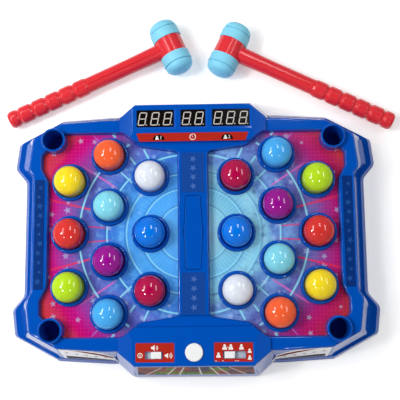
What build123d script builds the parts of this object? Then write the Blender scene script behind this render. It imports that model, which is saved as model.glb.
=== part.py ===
from build123d import *
from math import asin, atan2, cos, degrees, isclose, radians, sin
import os

# A table-top mole pounding game for two players, with two mallets lying behind it.
# Millimetres, +Z up, +Y to the back. The origin is the middle of the board on the table.

# General clearances and the overrun of every cut
running_gap = 0.3
seat_gap = 0.1
overrun = 1.0

# Heights of the case above the table
foot_height = 1.5
flange_height = 6.5
deck_z = 40.0
rim_z = 47.0
bar_z = 49.5
back_console_z = 53.0
front_console_z = 52.0

# Moulded walls
wall = 2.4
console_step = 1.2
console_draft = 16.4
pocket_draft = 3.5

# Consoles at the back and the front, at their foot and on top
console_half_depth = 142.6
console_half_width = 63.0
console_cheek_x = 86.0
console_cheek_depth = 20.6
console_cheek_y = console_half_depth - console_cheek_depth
console_depth = 62.6
console_inner_y = console_half_depth - console_depth
console_panel_half_width = 60.0
console_roof_half_width = 83.0
console_corner_round = 8.0
console_edge_round = 1.6
back_panel_depth = 41.1
back_panel_y = console_half_depth - back_panel_depth
back_strip_depth = 11.0
back_strip_y = back_panel_y - back_strip_depth
back_strip_drop = 1.2
front_panel_depth = 37.6
front_panel_y = console_half_depth - front_panel_depth

# Outline of the tray at its foot, one quarter
waist_half_width = 178.7
console_overhang = 12.6
tray_half_depth = console_half_depth - console_overhang
ear_step = 12.0
ear_start_y = 0.572 * tray_half_depth
waist_half_length = ear_start_y - 1.19 * ear_step
shoulder_x = waist_half_width + 0.717 * ear_step
shoulder_y = 0.781 * tray_half_depth
corner_x = 0.787 * waist_half_width
corner_y = 0.975 * tray_half_depth
tray_flat_x = 88.0
ear_bend_round = 0.72 * ear_step
shoulder_round = 6.0
corner_round = 5.0
rim_round = 2.2

# How far the skirt, the ledge above it and the wall draw in: at the waist, diagonal and front
skirt_at_waist = 4.2
skirt_at_diagonal = 2.3
skirt_at_front = 3.0
ledge_at_waist = 2.3
ledge_at_diagonal = 2.0
ledge_at_front = 0.6
wall_at_waist = 10.9
wall_at_diagonal = 11.0
wall_at_front = 11.0

# What the ear's flank and the ear's side draw in besides, as shares of the ear's step
skirt_flank_share = -0.1
skirt_ear_share = 0.0
ledge_flank_share = 0.142
ledge_ear_share = 0.283
wall_flank_share = -0.458
wall_ear_share = 0.408

# Outline of a play field at the deck, one quarter, measured from the board's middle
field_inner_x = 15.3
field_inner_y = 0.6346 * tray_half_depth
field_knee_x = 54.0
field_knee_y = 0.6808 * tray_half_depth
field_turn_x = 71.0
field_half_depth = 0.787 * tray_half_depth
field_corner_x = 0.733 * waist_half_width
field_waist_x = 0.8142 * waist_half_width
field_side_x = field_waist_x + 0.592 * ear_step
field_side_y = 0.6154 * tray_half_depth
field_step_y = ear_start_y - 0.7 * ear_step
field_waist_y = field_step_y - 1.1 * ear_step
field_round = 4.0
field_bend_round = 12.0
lip_round = 1.2

# Middle bar and its snap-in cover
bar_half_width = 16.5
bar_wall = 4.0
cover_half_length = 36.5
cover_end_half_width = 7.2
cover_mid_half_width = 9.2
cover_thickness = 1.8
cover_sink = 0.2
cover_gap = 0.5
cover_corner_round = 1.6
cover_edge_round = 0.5
notch_width = 2.6
notch_depth = 1.1

# Mole heads and the collars that they rise through
outer_column_x = 0.694 * waist_half_width
outer_row_y = 0.407 * tray_half_depth
middle_column_x = 0.4717 * waist_half_width
middle_near_y = 0.21 * tray_half_depth
middle_far_y = 0.61 * tray_half_depth
inner_column_x = 0.2406 * waist_half_width
inner_row_y = 0.4392 * tray_half_depth
mole_radius = 15.0
mole_wall = 1.6
mole_skirt_top_z = 52.0
mole_cap_height = 11.0
mole_shoulder_round = 9.0
mole_flange_width = 2.4
mole_flange_thickness = 1.6
mole_travel = 4.0
collar_radius = 18.8
collar_height = 4.0
collar_round = 1.3
collar_mouth_radius = 16.5
collar_mouth_depth = 2.2

# Mallet holders moulded into the four corners
holder_x = 0.7874 * waist_half_width
holder_y = 0.7308 * tray_half_depth
holder_bore_radius = 10.25
holder_wall = 2.0
holder_top_z = 52.0
holder_floor_z = 14.0
holder_lip_round = 0.8

# Digit modules behind the windows of the back console
digit_pitch = 12.7
digit_module_margin = -0.5
digit_module_depth = 17.6
digit_module_height = 8.0
digit_sink = 0.4
window_frame_depth = 0.5
window_frame_width = 2.2
window_setback = 27.4
window_y = console_half_depth - window_setback
left_window_x = -37.3
middle_window_x = 0.8
right_window_x = 38.9
display_board_margin = 3.0
display_boss_radius = 2.2
board_thickness = 1.6

# Controls on the front console
control_setback = 26.0
control_y = control_setback - console_half_depth
label_seat_width = 38.2
label_seat_depth = 19.0
label_seat_sink = 0.6
label_seat_round = 1.2
label_seat_bevel = 1.0
label_seat_x = 38.0
strip_seat_far_half_width = 56.8
strip_seat_near_half_width = 53.6
strip_seat_sink = 0.5
strip_seat_margin = 1.0
slot_offset = 2.6
slot_y = control_y - slot_offset
slot_height = 7.0
power_slot_x = -38.9
power_slot_length = 17.2
mode_slot_x = 38.8
mode_slot_length = 22.0
knob_length = 10.0
knob_height = 0.6
knob_lip = 1.4
knob_lip_thickness = 1.0
switch_stop = 1.4
knob_round = 0.4
switch_body_margin = 2.0
control_board_z = 38.0
control_boss_x = 15.4
control_board_half_width = 56.0
control_board_depth = 19.0
button_radius = 8.75
button_height = 2.2
button_round = 1.2
button_lip = 1.6
button_lip_thickness = 1.0
button_travel = 1.6
button_stem_radius = 2.6
button_stem_length = 3.4
tact_switch_size = 6.0
tact_plunger_radius = 1.75
tact_plunger_height = 1.5

# Boards and pads under the mole heads
mole_board_inner_x = 24.0
mole_board_outer_x = 0.7974 * waist_half_width
mole_board_half_depth = 0.7462 * tray_half_depth
mole_board_side_half_depth = 0.5538 * tray_half_depth
mole_board_flat_x = 0.5932 * waist_half_width
mole_board_near_x = 58.0
pad_foot_radius = 16.4
pad_head_radius = 14.6
pad_wall = 1.5
pad_squashed_height = 7.3
led_radius = 2.5
led_height = 6.0
board_post_radius = 3.2
post_inner_x = 31.0
post_inner_y = 0.4923 * tray_half_depth
post_middle_x = 0.3581 * waist_half_width
post_outer_x = 0.5932 * waist_half_width
post_outer_y = 0.4231 * tray_half_depth

# Bottom cover with its battery bay, speaker seat, screws and feet
cover_plate = 2.2
screw_boss_radius = 4.0
screw_shank_radius = 1.4
screw_pilot_gap = 0.1
screw_head_radius = 2.8
screw_head_height = 1.8
screw_length = 14.0
screw_well_radius = 3.4
screw_seat = 2.0
screw_seat_radius = 6.2
screw_waist_x = 0.8618 * waist_half_width
screw_ear_x = 0.9066 * waist_half_width
screw_ear_y = 0.5538 * tray_half_depth
screw_console_x = 67.0
screw_console_setback = 30.6
screw_console_y = console_half_depth - screw_console_setback
foot_radius = 7.0
foot_seat = 0.8
foot_x = 0.8394 * waist_half_width
foot_y = 0.6462 * tray_half_depth
battery_radius = 7.25
battery_length = 49.5
battery_nub_radius = 2.75
battery_nub_length = 1.0
battery_pitch = 15.0
battery_count = 3
battery_bay_setback = 70.6
battery_bay_y = battery_bay_setback - console_half_depth
battery_end_room = 0.8
battery_side_room = 0.4
battery_wall = 1.6
contact_thickness = 0.5
contact_size = 8.0
door_ledge = 3.0
door_tab = 11.0
door_thickness = 1.7
door_frame = 2.0
door_seat = 1.0
door_screw_length = 8.0
door_boss_cap = 1.2
door_round = 2.0
door_gap = 0.3
speaker_setback = 80.6
speaker_y = console_half_depth - speaker_setback
speaker_radius = 20.0
speaker_height = 11.0
speaker_magnet_radius = 12.0
speaker_cone_height = 4.0
speaker_ring_wall = 1.6
grille_hole_radius = 1.5
grille_pitch = 5.2
grille_rings = 2
grille_hole_count = 6

# Mallets: a red moulded handle and barrel with two soft light-blue caps
grip_radius = 9.3
grip_groove_radius = 7.7
grip_pitch = 16.0
grip_beads = 5
grip_end_bead = 11.5
grip_bead_round = 3.0
grip_groove_round = 0.6
grip_shoulder = 3.0
shaft_radius = 8.2
shaft_neck_gap = 0.3
shaft_neck_length = 34.0
mallet_reach = 189.5
barrel_radius = 14.7
barrel_length = 18.5
head_core_radius = 10.0
head_core_length = 10.0
cap_radius = 15.6
cap_sleeve = 10.2
cap_dome = 10.0
cap_dome_skirt = 0.6
cap_dome_step = 0.6
cap_shoulder_round = 8.0
cap_edge_round = 0.4
cap_groove = 0.9
cap_groove_depth = 1.6
shaft_rib_width = 2.4
shaft_rib_height = 0.7
left_head_x = -23.3
left_head_distance = 60.3
left_head_y = console_half_depth + left_head_distance
left_mallet_turn = 203.9
right_head_x = 38.8
right_head_distance = 56.3
right_head_y = console_half_depth + right_head_distance
right_mallet_turn = -25.2

# Play field print
sheet_thickness = 0.25
sheet_gap = 0.4


def outline(points, radii=None, grow=0.0):
    """A closed face with straight sides and rounded corners, grown outwards by a distance."""
    corners = list(zip(points, radii or [0.0] * len(points)))
    ring = points[1:] + points[:1]
    doubled_area = sum(x0 * y1 - x1 * y0 for (x0, y0), (x1, y1) in zip(points, ring))
    if doubled_area < 0:
        corners.reverse()
    moved = []
    for i, ((x, y), radius) in enumerate(corners):
        before = corners[i - 1][0]
        after = corners[(i + 1) % len(corners)][0]
        come = Vector(x - before[0], y - before[1]).normalized()
        leave = Vector(after[0] - x, after[1] - y).normalized()
        shift = grow / (1 + come.dot(leave))
        place = (x + shift * (come.Y + leave.Y), y - shift * (come.X + leave.X))
        bulges = come.cross(leave).Z > 0
        moved.append((place, radius and radius + (grow if bulges else -grow)))
    path = FilletPolyline(*[p for p, r in moved], radius=[r for p, r in moved], close=True)
    return make_face(path)


def all_round(quarter):
    """The four quarters of an outline that is alike left and right, front and back."""
    back = quarter + [(-x, y) for x, y in reversed(quarter)]
    return back + [(-x, -y) for x, y in back]


def both_depths(half):
    """An outline alike front and back, from its back half."""
    return half + [(x, -y) for x, y in reversed(half)]


def drafted(face, low_z, high_z, draft):
    """A prism whose walls lean in as it rises."""
    return extrude(Pos(0, 0, low_z) * face, high_z - low_z, taper=draft)


def raised(face, low_z, high_z):
    """A straight prism between two heights."""
    return extrude(Pos(0, 0, low_z) * face, high_z - low_z, dir=(0, 0, 1))


def tube(radius, low_z, high_z, x=0.0, y=0.0):
    """An upright cylinder between two heights."""
    return Pos(x, y, low_z) * Cylinder(
        radius, high_z - low_z, align=(Align.CENTER, Align.CENTER, Align.MIN)
    )


def block(width, depth, low_z, high_z, x=0.0, y=0.0):
    """An upright box between two heights."""
    return Pos(x, y, low_z) * Box(
        width, depth, high_z - low_z, align=(Align.CENTER, Align.CENTER, Align.MIN)
    )


def fuse_all(shapes):
    """One shape from many."""
    whole = shapes[0]
    for shape in shapes[1:]:
        whole = whole + shape
    return whole


def side_insets(at_waist, flank_share, ear_share, at_diagonal, at_front):
    """How far each side of a tray quarter draws in, from the waist to the middle of the front."""
    flank = at_waist + flank_share * ear_step
    ear = at_waist + ear_share * ear_step
    return [at_waist, flank, ear, at_diagonal, at_front, at_front]


skirt_insets = side_insets(
    skirt_at_waist, skirt_flank_share, skirt_ear_share, skirt_at_diagonal, skirt_at_front
)
ledge_insets = side_insets(
    ledge_at_waist, ledge_flank_share, ledge_ear_share, ledge_at_diagonal, ledge_at_front
)
wall_insets = side_insets(
    wall_at_waist, wall_flank_share, wall_ear_share, wall_at_diagonal, wall_at_front
)


def tray_quarter(insets):
    """Corner points of a tray quarter, each side drawn in from the foot by its own amount."""
    corners = [
        (waist_half_width, 0.0),
        (waist_half_width, waist_half_length),
        (waist_half_width + ear_step, ear_start_y),
        (shoulder_x, shoulder_y),
        (corner_x, corner_y),
        (tray_flat_x, tray_half_depth),
        (0.0, tray_half_depth),
    ]
    sides = []
    for (x0, y0), (x1, y1), step in zip(corners, corners[1:], insets):
        along = Vector(x1 - x0, y1 - y0).normalized()
        sides.append((Vector(x0 - step * along.Y, y0 + step * along.X), along))
    points = []
    for (start, along), (next_start, next_along) in zip(sides, sides[1:]):
        reach = (next_start - start).cross(next_along).Z / along.cross(next_along).Z
        place = start + along * reach
        points.append((place.X, place.Y))
    return points


def tray_face(level, shrink=0.0):
    """The tray's outline drawn in by a wall: level 0 foot, 1 skirt top, 2 wall foot, 3 rim."""
    shares = [min(max(level - step, 0.0), 1.0) for step in range(3)]
    insets = [
        shares[0] * skirt + shares[1] * ledge + shares[2] * lean
        for skirt, ledge, lean in zip(skirt_insets, ledge_insets, wall_insets)
    ]
    quarter = [ear_bend_round, ear_bend_round, shoulder_round, corner_round, 0.0]
    half = quarter + quarter[::-1]
    return outline(all_round(tray_quarter(insets)), half + half, -shrink)


def ruled(low_face, low_z, high_face, high_z):
    """A body with straight walls between two like outlines."""
    return loft([Pos(0, 0, low_z) * low_face, Pos(0, 0, high_z) * high_face], ruled=True)


def console_face(side, shrink=0.0):
    """The foot outline of a console; side is 1 at the back and -1 at the front."""
    half = [
        (console_half_width, side * console_half_depth),
        (console_cheek_x, side * console_cheek_y),
        (console_cheek_x, side * console_inner_y),
    ]
    radii = [console_corner_round, console_corner_round, 0.0]
    return outline(half + [(-x, y) for x, y in reversed(half)], radii + radii[::-1], -shrink)


def console_roof(side, top_z, ridge, shrink=0.0):
    """The space under a console's roof: flat over the panel, then down to the bar and the rim."""
    drop = shrink
    reach = console_half_depth
    across = [
        (-console_cheek_x, 0.0),
        (-console_cheek_x, rim_z - drop),
        (-console_roof_half_width, rim_z - drop),
        (-console_panel_half_width, top_z - drop),
        (console_panel_half_width, top_z - drop),
        (console_roof_half_width, rim_z - drop),
        (console_cheek_x, rim_z - drop),
        (console_cheek_x, 0.0),
    ]
    along = [
        (side * reach, 0.0),
        (side * reach, top_z - drop),
        *[(side * y, z - drop) for y, z in ridge],
        (side * console_inner_y, bar_z - drop),
        (side * console_inner_y, 0.0),
    ]
    wide = extrude(Plane.XZ * outline(across), console_half_depth, both=True)
    deep = extrude(Plane.YZ * outline(along), console_cheek_x, both=True)
    return wide & deep


def console(side, top_z, ridge, low_z, shrink=0.0):
    """A console from the foot up, with drafted walls and its sloping roof."""
    body = drafted(console_face(side, shrink), low_z, top_z, console_draft)
    return body & console_roof(side, top_z, ridge, shrink)


def both_consoles(low_z, shrink=0.0):
    """The display console at the back and the control console at the front."""
    strip_z = back_console_z - back_strip_drop
    back_ridge = [(back_panel_y, back_console_z), (back_strip_y, strip_z)]
    back = console(1, back_console_z, back_ridge, low_z, shrink)
    front_ridge = [(front_panel_y, front_console_z)]
    front = console(-1, front_console_z, front_ridge, low_z, shrink)
    return back, front


def field_face(grow=0.0):
    """The outline of the right play field at the deck."""
    half = [
        (field_waist_x, field_waist_y),
        (field_side_x, field_step_y),
        (field_side_x, field_side_y),
        (field_corner_x, field_half_depth),
        (field_turn_x, field_half_depth),
        (field_knee_x, field_knee_y),
        (field_inner_x, field_inner_y),
    ]
    bend = field_bend_round
    small = field_round
    radii = [bend, small, small, small, bend, bend, small]
    return outline(both_depths(half), radii + radii[::-1], grow)


def pocket(low_z, grow=0.0):
    """The hollow above a play field, wider as it rises."""
    high_z = back_console_z + overrun
    right = drafted(field_face(grow), low_z, high_z, -pocket_draft)
    return right, mirror(right, about=Plane.YZ)


def mole_places():
    """Name and place of each mole head on the right field."""
    return [
        ("outer_back", outer_column_x, outer_row_y),
        ("outer_centre", outer_column_x, 0.0),
        ("outer_front", outer_column_x, -outer_row_y),
        ("middle_back", middle_column_x, middle_far_y),
        ("middle_upper", middle_column_x, middle_near_y),
        ("middle_lower", middle_column_x, -middle_near_y),
        ("middle_front", middle_column_x, -middle_far_y),
        ("inner_back", inner_column_x, inner_row_y),
        ("inner_centre", inner_column_x, 0.0),
        ("inner_front", inner_column_x, -inner_row_y),
    ]


def all_moles():
    """Name and place of every mole head on the board."""
    right = [("right_" + name, x, y) for name, x, y in mole_places()]
    return right + [("left_" + name, -x, y) for name, x, y in mole_places()]


def holder_places():
    """The four mallet holders."""
    return [(sx * holder_x, sy * holder_y) for sx in (1, -1) for sy in (1, -1)]


def screw_places():
    """The case screws, and the bosses that they enter."""
    quarter = [(screw_ear_x, screw_ear_y), (screw_console_x, screw_console_y)]
    places = [(sx * x, sy * y) for x, y in quarter for sx in (1, -1) for sy in (1, -1)]
    return places + [(screw_waist_x, 0.0), (-screw_waist_x, 0.0)]


def windows():
    """Name, place and number of digits of each display."""
    return [
        ("player_1_display", left_window_x, 3),
        ("timer_display", middle_window_x, 2),
        ("player_2_display", right_window_x, 3),
    ]


def digit_module_width(digits):
    """Overall width of a digit module."""
    return digits * digit_pitch + digit_module_margin


bore_radius = mole_radius + running_gap
mole_flange_radius = mole_radius + mole_flange_width
mole_flange_top_z = deck_z - wall - running_gap
pad_top_z = mole_flange_top_z - mole_flange_thickness - running_gap
mole_board_top_z = pad_top_z - mole_travel - pad_squashed_height
mole_board_z = mole_board_top_z - board_thickness
display_board_z = back_console_z - digit_sink - digit_module_height - board_thickness
case_bottom_z = foot_height
plate_top_z = foot_height + cover_plate
flange_top_z = foot_height + flange_height
door_seat_z = case_bottom_z + door_seat


def skirt_level(z):
    """How high a place stands on the skirt, from 0 at the foot to 1 at its top."""
    return (z - case_bottom_z) / flange_height


def skirt(high_z, shrink=0.0):
    """The drafted band at the foot of the case up to a height, drawn in by a wall."""
    level = skirt_level(high_z)
    bands = [ruled(tray_face(0.0, shrink), case_bottom_z, tray_face(level, shrink), high_z)]
    for side in (1, -1):
        low_face = console_face(side, shrink - console_step)
        high_face = console_face(side, shrink - (1 - level) * console_step)
        bands.append(ruled(low_face, case_bottom_z, high_face, high_z))
    return fuse_all(bands)


def outer_body():
    """The case as one closed lump, before it is hollowed."""
    tray = ruled(tray_face(2), flange_top_z, tray_face(3), rim_z)
    tray = fillet(tray.faces().sort_by(Axis.Z)[-1].edges(), rim_round)
    back, front = both_consoles(flange_top_z)
    rounded = []
    for side, body in ((1, back), (-1, front)):
        rims = body.edges().filter_by(
            lambda e, side=side: e.center().Z > rim_z and side * e.center().Y > front_panel_y
        )
        rounded.append(fillet(rims, console_edge_round))
    bar = block(2 * bar_half_width, 2 * console_inner_y + 2 * overrun, deck_z, bar_z)
    return fuse_all([tray, rounded[0], rounded[1], bar, skirt(flange_top_z)])


def inner_body():
    """The hollow inside the case, one wall within the outer body."""
    tray = ruled(tray_face(2, wall), flange_top_z, tray_face(3, wall), rim_z - wall)
    back, front = both_consoles(flange_top_z, wall)
    bar = block(2 * (bar_half_width - wall), 2 * console_inner_y, deck_z - wall, bar_z - bar_wall)
    under_ledge = flange_top_z - wall
    neck = [raised(face, under_ledge, flange_top_z) for face in wall_foot_faces(wall)]
    return fuse_all([tray, back, front, bar, *neck, skirt(under_ledge, wall)])


def wall_foot_faces(shrink):
    """The outlines of the tray's wall and of both consoles where they stand on the ledge."""
    return [tray_face(2, shrink), console_face(1, shrink), console_face(-1, shrink)]


def lip_edges(lump):
    """The edges round the play fields on the flat rim and along the middle bar."""
    near_field = field_face(2 * lip_round)

    def at_lip(edge):
        middle = edge.center()
        on_rim = isclose(middle.Z, rim_z) and abs(middle.X) > console_cheek_x
        on_bar = isclose(middle.Z, bar_z) and abs(middle.Y) < console_inner_y
        inside = near_field.is_inside(Vector(abs(middle.X), middle.Y, 0.0))
        return inside and (on_rim or on_bar)

    return lump.edges().filter_by(at_lip)


def collar(x, y):
    """The raised ring round a mole head, with a rounded lip and a flared mouth."""
    low = deck_z - wall / 2
    top = deck_z + collar_height
    profile = outline(
        [
            (bore_radius, low),
            (collar_radius, low),
            (collar_radius, top),
            (collar_mouth_radius, top),
            (bore_radius, top - collar_mouth_depth),
        ],
        [0.0, 0.0, collar_round, collar_round / 3, 0.0],
    )
    return Pos(x, y, 0) * revolve(Plane.XZ * profile, Axis.Z)


def window_cuts():
    """The three display windows in the back console's panel, each in a bevelled frame."""
    low = back_console_z - wall - overrun
    frame_z = back_console_z - window_frame_depth
    depth = digit_module_depth + 2 * seat_gap
    cuts = []
    for name, x, digits in windows():
        width = digit_module_width(digits) + 2 * seat_gap
        inner = Pos(x, window_y) * Rectangle(width, depth)
        grow = 2 * window_frame_width
        outer = Pos(x, window_y) * Rectangle(width + grow, depth + grow)
        cuts.append(block(width, depth, low, frame_z, x, window_y))
        cuts.append(ruled(inner, frame_z, outer, back_console_z))
        cuts.append(raised(outer, back_console_z, back_console_z + overrun))
    return cuts


def strip_seat():
    """The shallow seat of the label strip below the windows, along the console's slope."""
    far_y = back_panel_y - strip_seat_margin
    near_y = back_strip_y + strip_seat_margin
    low = back_console_z - strip_seat_sink
    high = back_console_z + overrun
    plan = outline(
        [
            (strip_seat_far_half_width, far_y),
            (-strip_seat_far_half_width, far_y),
            (-strip_seat_near_half_width, near_y),
            (strip_seat_near_half_width, near_y),
        ],
        [label_seat_round] * 4,
    )
    side = outline([(far_y, low), (far_y, high), (near_y, high), (near_y, low - back_strip_drop)])
    slab = extrude(Plane.YZ * side, strip_seat_far_half_width, both=True)
    return slab & raised(plan, low - back_strip_drop, high)


def control_cuts():
    """Label seats, switch slots and the start button's bore in the front console."""
    low = front_console_z - wall - overrun
    high = front_console_z + overrun
    seat_z = front_console_z - label_seat_sink
    grow = 2 * label_seat_bevel
    round_grown = label_seat_round + label_seat_bevel
    cuts = []
    for side in (1, -1):
        place = Pos(side * label_seat_x, control_y)
        seat = place * RectangleRounded(label_seat_width, label_seat_depth, label_seat_round)
        mouth = place * RectangleRounded(label_seat_width + grow, label_seat_depth + grow, round_grown)
        cuts.append(ruled(seat, seat_z, mouth, front_console_z))
        cuts.append(raised(mouth, front_console_z, high))
    cuts.append(block(power_slot_length, slot_height, low, high, power_slot_x, slot_y))
    cuts.append(block(mode_slot_length, slot_height, low, high, mode_slot_x, slot_y))
    cuts.append(tube(button_radius + running_gap, low, high, 0.0, control_y))
    return cuts


def cover_face(grow=0.0):
    """The outline of the snap-in cover in the middle bar."""
    half = [(cover_end_half_width, cover_half_length), (cover_mid_half_width, 0.0)]
    right = half + [(cover_end_half_width, -cover_half_length)]
    points = right + [(-x, y) for x, y in reversed(right)]
    radii = [cover_corner_round, 0.0, cover_corner_round]
    return outline(points, radii + radii, grow)


def cover_seat():
    """The seat of the snap-in cover, with a finger notch on each side."""
    low = bar_z - cover_sink - cover_thickness
    seat = raised(cover_face(cover_gap), low, bar_z + overrun)
    reach = 2 * (cover_mid_half_width + cover_gap + notch_depth)
    return seat + block(reach, notch_width, low, bar_z + overrun)


def mallet_holders():
    """Posts of the four mallet holders, with rounded mouths."""
    radius = holder_bore_radius + holder_wall
    posts = [tube(radius, holder_floor_z - holder_wall, holder_top_z, x, y) for x, y in holder_places()]
    return [fillet(post.edges().sort_by(Axis.Z)[-1], holder_lip_round) for post in posts]


def board_bosses():
    """Bosses that hang the display board and the control board under the consoles."""
    display_top = display_board_z + board_thickness
    control_top = control_board_z + board_thickness
    back = [
        tube(display_boss_radius, display_top, back_console_z - wall / 2, x, window_y)
        for x in display_boss_places()
    ]
    front = [
        tube(display_boss_radius, control_top, front_console_z - wall / 2, side * control_boss_x, control_y)
        for side in (1, -1)
    ]
    return back + front


def display_boss_places():
    """Half way between neighbouring digit modules."""
    places = []
    for (name, x0, digits0), (other, x1, digits1) in zip(windows(), windows()[1:]):
        right_edge = x0 + digit_module_width(digits0) / 2
        left_edge = x1 - digit_module_width(digits1) / 2
        places.append((right_edge + left_edge) / 2)
    return places


def top_shell():
    """The blue upper case: rim, consoles, bar, collars and mallet holders in one moulding."""
    lump = outer_body() - list(pocket(deck_z))
    lump = fillet(lip_edges(lump), lip_round)
    hollow = inner_body() - list(pocket(deck_z - wall, wall))
    shell = lump - hollow
    boss_low = plate_top_z + screw_seat
    bosses = [tube(screw_boss_radius, boss_low, back_console_z, x, y) & lump for x, y in screw_places()]
    collars = [collar(x, y) for name, x, y in all_moles()]
    shell = shell + (bosses + collars + mallet_holders() + board_bosses())
    pilot_radius = screw_shank_radius + screw_pilot_gap
    cuts = [
        tube(pilot_radius, plate_top_z, plate_top_z + screw_length + seat_gap, x, y)
        for x, y in screw_places()
    ]
    cuts += [tube(bore_radius, deck_z - wall - overrun, deck_z + overrun, x, y) for n, x, y in all_moles()]
    cuts += [
        tube(holder_bore_radius, holder_floor_z, holder_top_z + overrun, x, y)
        for x, y in holder_places()
    ]
    cuts += window_cuts() + control_cuts() + [strip_seat(), cover_seat()]
    return shell - cuts


def domed(radius, rise, shoulder, low_z, skirt_top_z):
    """A round post with a low dome: a shoulder arc, then a wider crown arc that meets the axis."""
    run = radius - shoulder
    crown = (run**2 + rise**2 - shoulder**2) / (2 * (rise - shoulder))
    turn = degrees(atan2(crown - rise, run))
    side_arc = JernArc((radius, skirt_top_z), (0, 1), shoulder, turn)
    crown_arc = JernArc(side_arc @ 1, side_arc % 1, crown, 90 - turn)
    rest = Polyline(crown_arc @ 1, (0, low_z), (radius, low_z), (radius, skirt_top_z))
    return revolve(Plane.XZ * make_face(side_arc + crown_arc + rest), Axis.Z)


def mole():
    """A hollow mole head with a flange that keeps it under the deck."""
    flange_low = mole_flange_top_z - mole_flange_thickness
    outer = domed(mole_radius, mole_cap_height, mole_shoulder_round, flange_low, mole_skirt_top_z)
    inner = domed(
        mole_radius - mole_wall,
        mole_cap_height - mole_wall,
        mole_shoulder_round - mole_wall,
        flange_low - overrun,
        mole_skirt_top_z,
    )
    return outer + tube(mole_flange_radius, flange_low, mole_flange_top_z) - inner


def return_pad():
    """The silicone skirt that pushes a mole head back up."""
    profile = outline(
        [
            (pad_foot_radius - pad_wall, mole_board_top_z),
            (pad_foot_radius, mole_board_top_z),
            (pad_head_radius, pad_top_z),
            (pad_head_radius - pad_wall, pad_top_z),
        ]
    )
    return revolve(Plane.XZ * profile, Axis.Z)


def mole_led():
    """The round lamp that lights a mole head from inside."""
    body = tube(led_radius, mole_board_top_z, mole_board_top_z + led_height)
    return fillet(body.edges().sort_by(Axis.Z)[-1], led_radius - seat_gap)


def field_sheet():
    """The printed sheet of the right play field, cut out round collars and holders."""
    sheet = raised(field_face(-sheet_gap), deck_z, deck_z + sheet_thickness)
    high = deck_z + sheet_thickness + overrun
    cuts = [tube(collar_radius + sheet_gap, deck_z - overrun, high, x, y) for n, x, y in mole_places()]
    holder_radius = holder_bore_radius + holder_wall + sheet_gap
    cuts += [tube(holder_radius, deck_z - overrun, high, holder_x, side * holder_y) for side in (1, -1)]
    return sheet - cuts


def mole_board():
    """The circuit board under the right play field."""
    half = [
        (mole_board_outer_x, mole_board_side_half_depth),
        (mole_board_flat_x, mole_board_half_depth),
        (mole_board_near_x, mole_board_half_depth),
        (mole_board_inner_x, mole_board_side_half_depth),
    ]
    return raised(outline(both_depths(half)), mole_board_z, mole_board_top_z)


def board_post_places():
    """Where posts of the bottom cover carry the two mole boards."""
    right = [
        (post_inner_x, post_inner_y),
        (post_inner_x, -post_inner_y),
        (post_middle_x, 0.0),
        (post_outer_x, post_outer_y),
        (post_outer_x, -post_outer_y),
    ]
    return right + [(-x, y) for x, y in right]


def bay_size(room=0.0):
    """Inner width and length of the battery bay, with room added on each side."""
    width = battery_count * battery_pitch + 2 * battery_side_room
    length = battery_length + battery_nub_length + 2 * battery_end_room
    return width + 2 * room, length + 2 * room


def door_outline(gap):
    """The battery door with its screw tab towards the middle of the board."""
    width, length = bay_size()
    low_y = battery_bay_y - length / 2 - door_ledge
    high_y = battery_bay_y + length / 2 + door_tab
    half_width = width / 2 + door_ledge
    points = [(half_width, low_y), (half_width, high_y), (-half_width, high_y), (-half_width, low_y)]
    return outline(points, [door_round] * 4, -gap)


def door_screw_y():
    """The door screw stands in the middle of the tab."""
    return battery_bay_y + bay_size()[1] / 2 + door_tab / 2


def battery_top_z():
    """The underside of the battery bay's roof."""
    return plate_top_z + 2 * (battery_radius + running_gap)


def bottom_cover():
    """The bottom cover with battery bay, board posts, speaker ring, screw seats and foot seats."""
    cover = skirt(plate_top_z, wall + seat_gap)
    width, length = bay_size(battery_wall)
    adds = [block(width, length, plate_top_z, battery_top_z() + battery_wall, 0.0, battery_bay_y)]
    adds += [tube(board_post_radius, plate_top_z, mole_board_z, x, y) for x, y in board_post_places()]
    seat_top = plate_top_z + screw_seat
    adds += [tube(screw_seat_radius, plate_top_z, seat_top, x, y) for x, y in screw_places()]
    door_recess_top = case_bottom_z + door_thickness + seat_gap
    adds.append(raised(door_outline(-battery_wall), plate_top_z, door_recess_top + door_frame))
    pilot_top = door_seat_z + door_screw_length + seat_gap
    adds.append(tube(screw_boss_radius, plate_top_z, pilot_top + door_boss_cap, 0.0, door_screw_y()))
    ring = speaker_radius + seat_gap
    ring_top = plate_top_z + speaker_cone_height
    adds.append(tube(ring + speaker_ring_wall, plate_top_z, ring_top, 0, speaker_y))
    cover = cover + adds
    width, length = bay_size()
    cuts = [block(width, length, case_bottom_z - overrun, battery_top_z(), 0.0, battery_bay_y)]
    cuts.append(raised(door_outline(0.0), case_bottom_z - overrun, door_recess_top))
    cuts.append(tube(ring, plate_top_z, ring_top + overrun, 0, speaker_y))
    low = case_bottom_z - overrun
    for x, y in screw_places():
        cuts.append(tube(screw_well_radius, low, plate_top_z, x, y))
        cuts.append(tube(screw_shank_radius + running_gap, low, seat_top + overrun, x, y))
    pilot = screw_shank_radius + screw_pilot_gap
    cuts.append(tube(pilot, low, pilot_top, 0.0, door_screw_y()))
    cuts += [tube(foot_radius + seat_gap, low, case_bottom_z + foot_seat, x, y) for x, y in foot_places()]
    cuts += [tube(grille_hole_radius, low, plate_top_z + overrun, x, y) for x, y in grille_places()]
    return cover - cuts


def grille_places():
    """Sound holes in two rings round a middle one."""
    places = [(0.0, speaker_y)]
    for ring in range(1, grille_rings + 1):
        count = grille_hole_count * ring
        for k in range(count):
            turn = radians(360 * k / count)
            reach = ring * grille_pitch
            places.append((reach * cos(turn), speaker_y + reach * sin(turn)))
    return places


def foot_places():
    """Four feet near the corners and one in the middle."""
    corners = [(sx * foot_x, sy * foot_y) for sx in (1, -1) for sy in (1, -1)]
    return corners + [(0.0, 0.0)]


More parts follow.
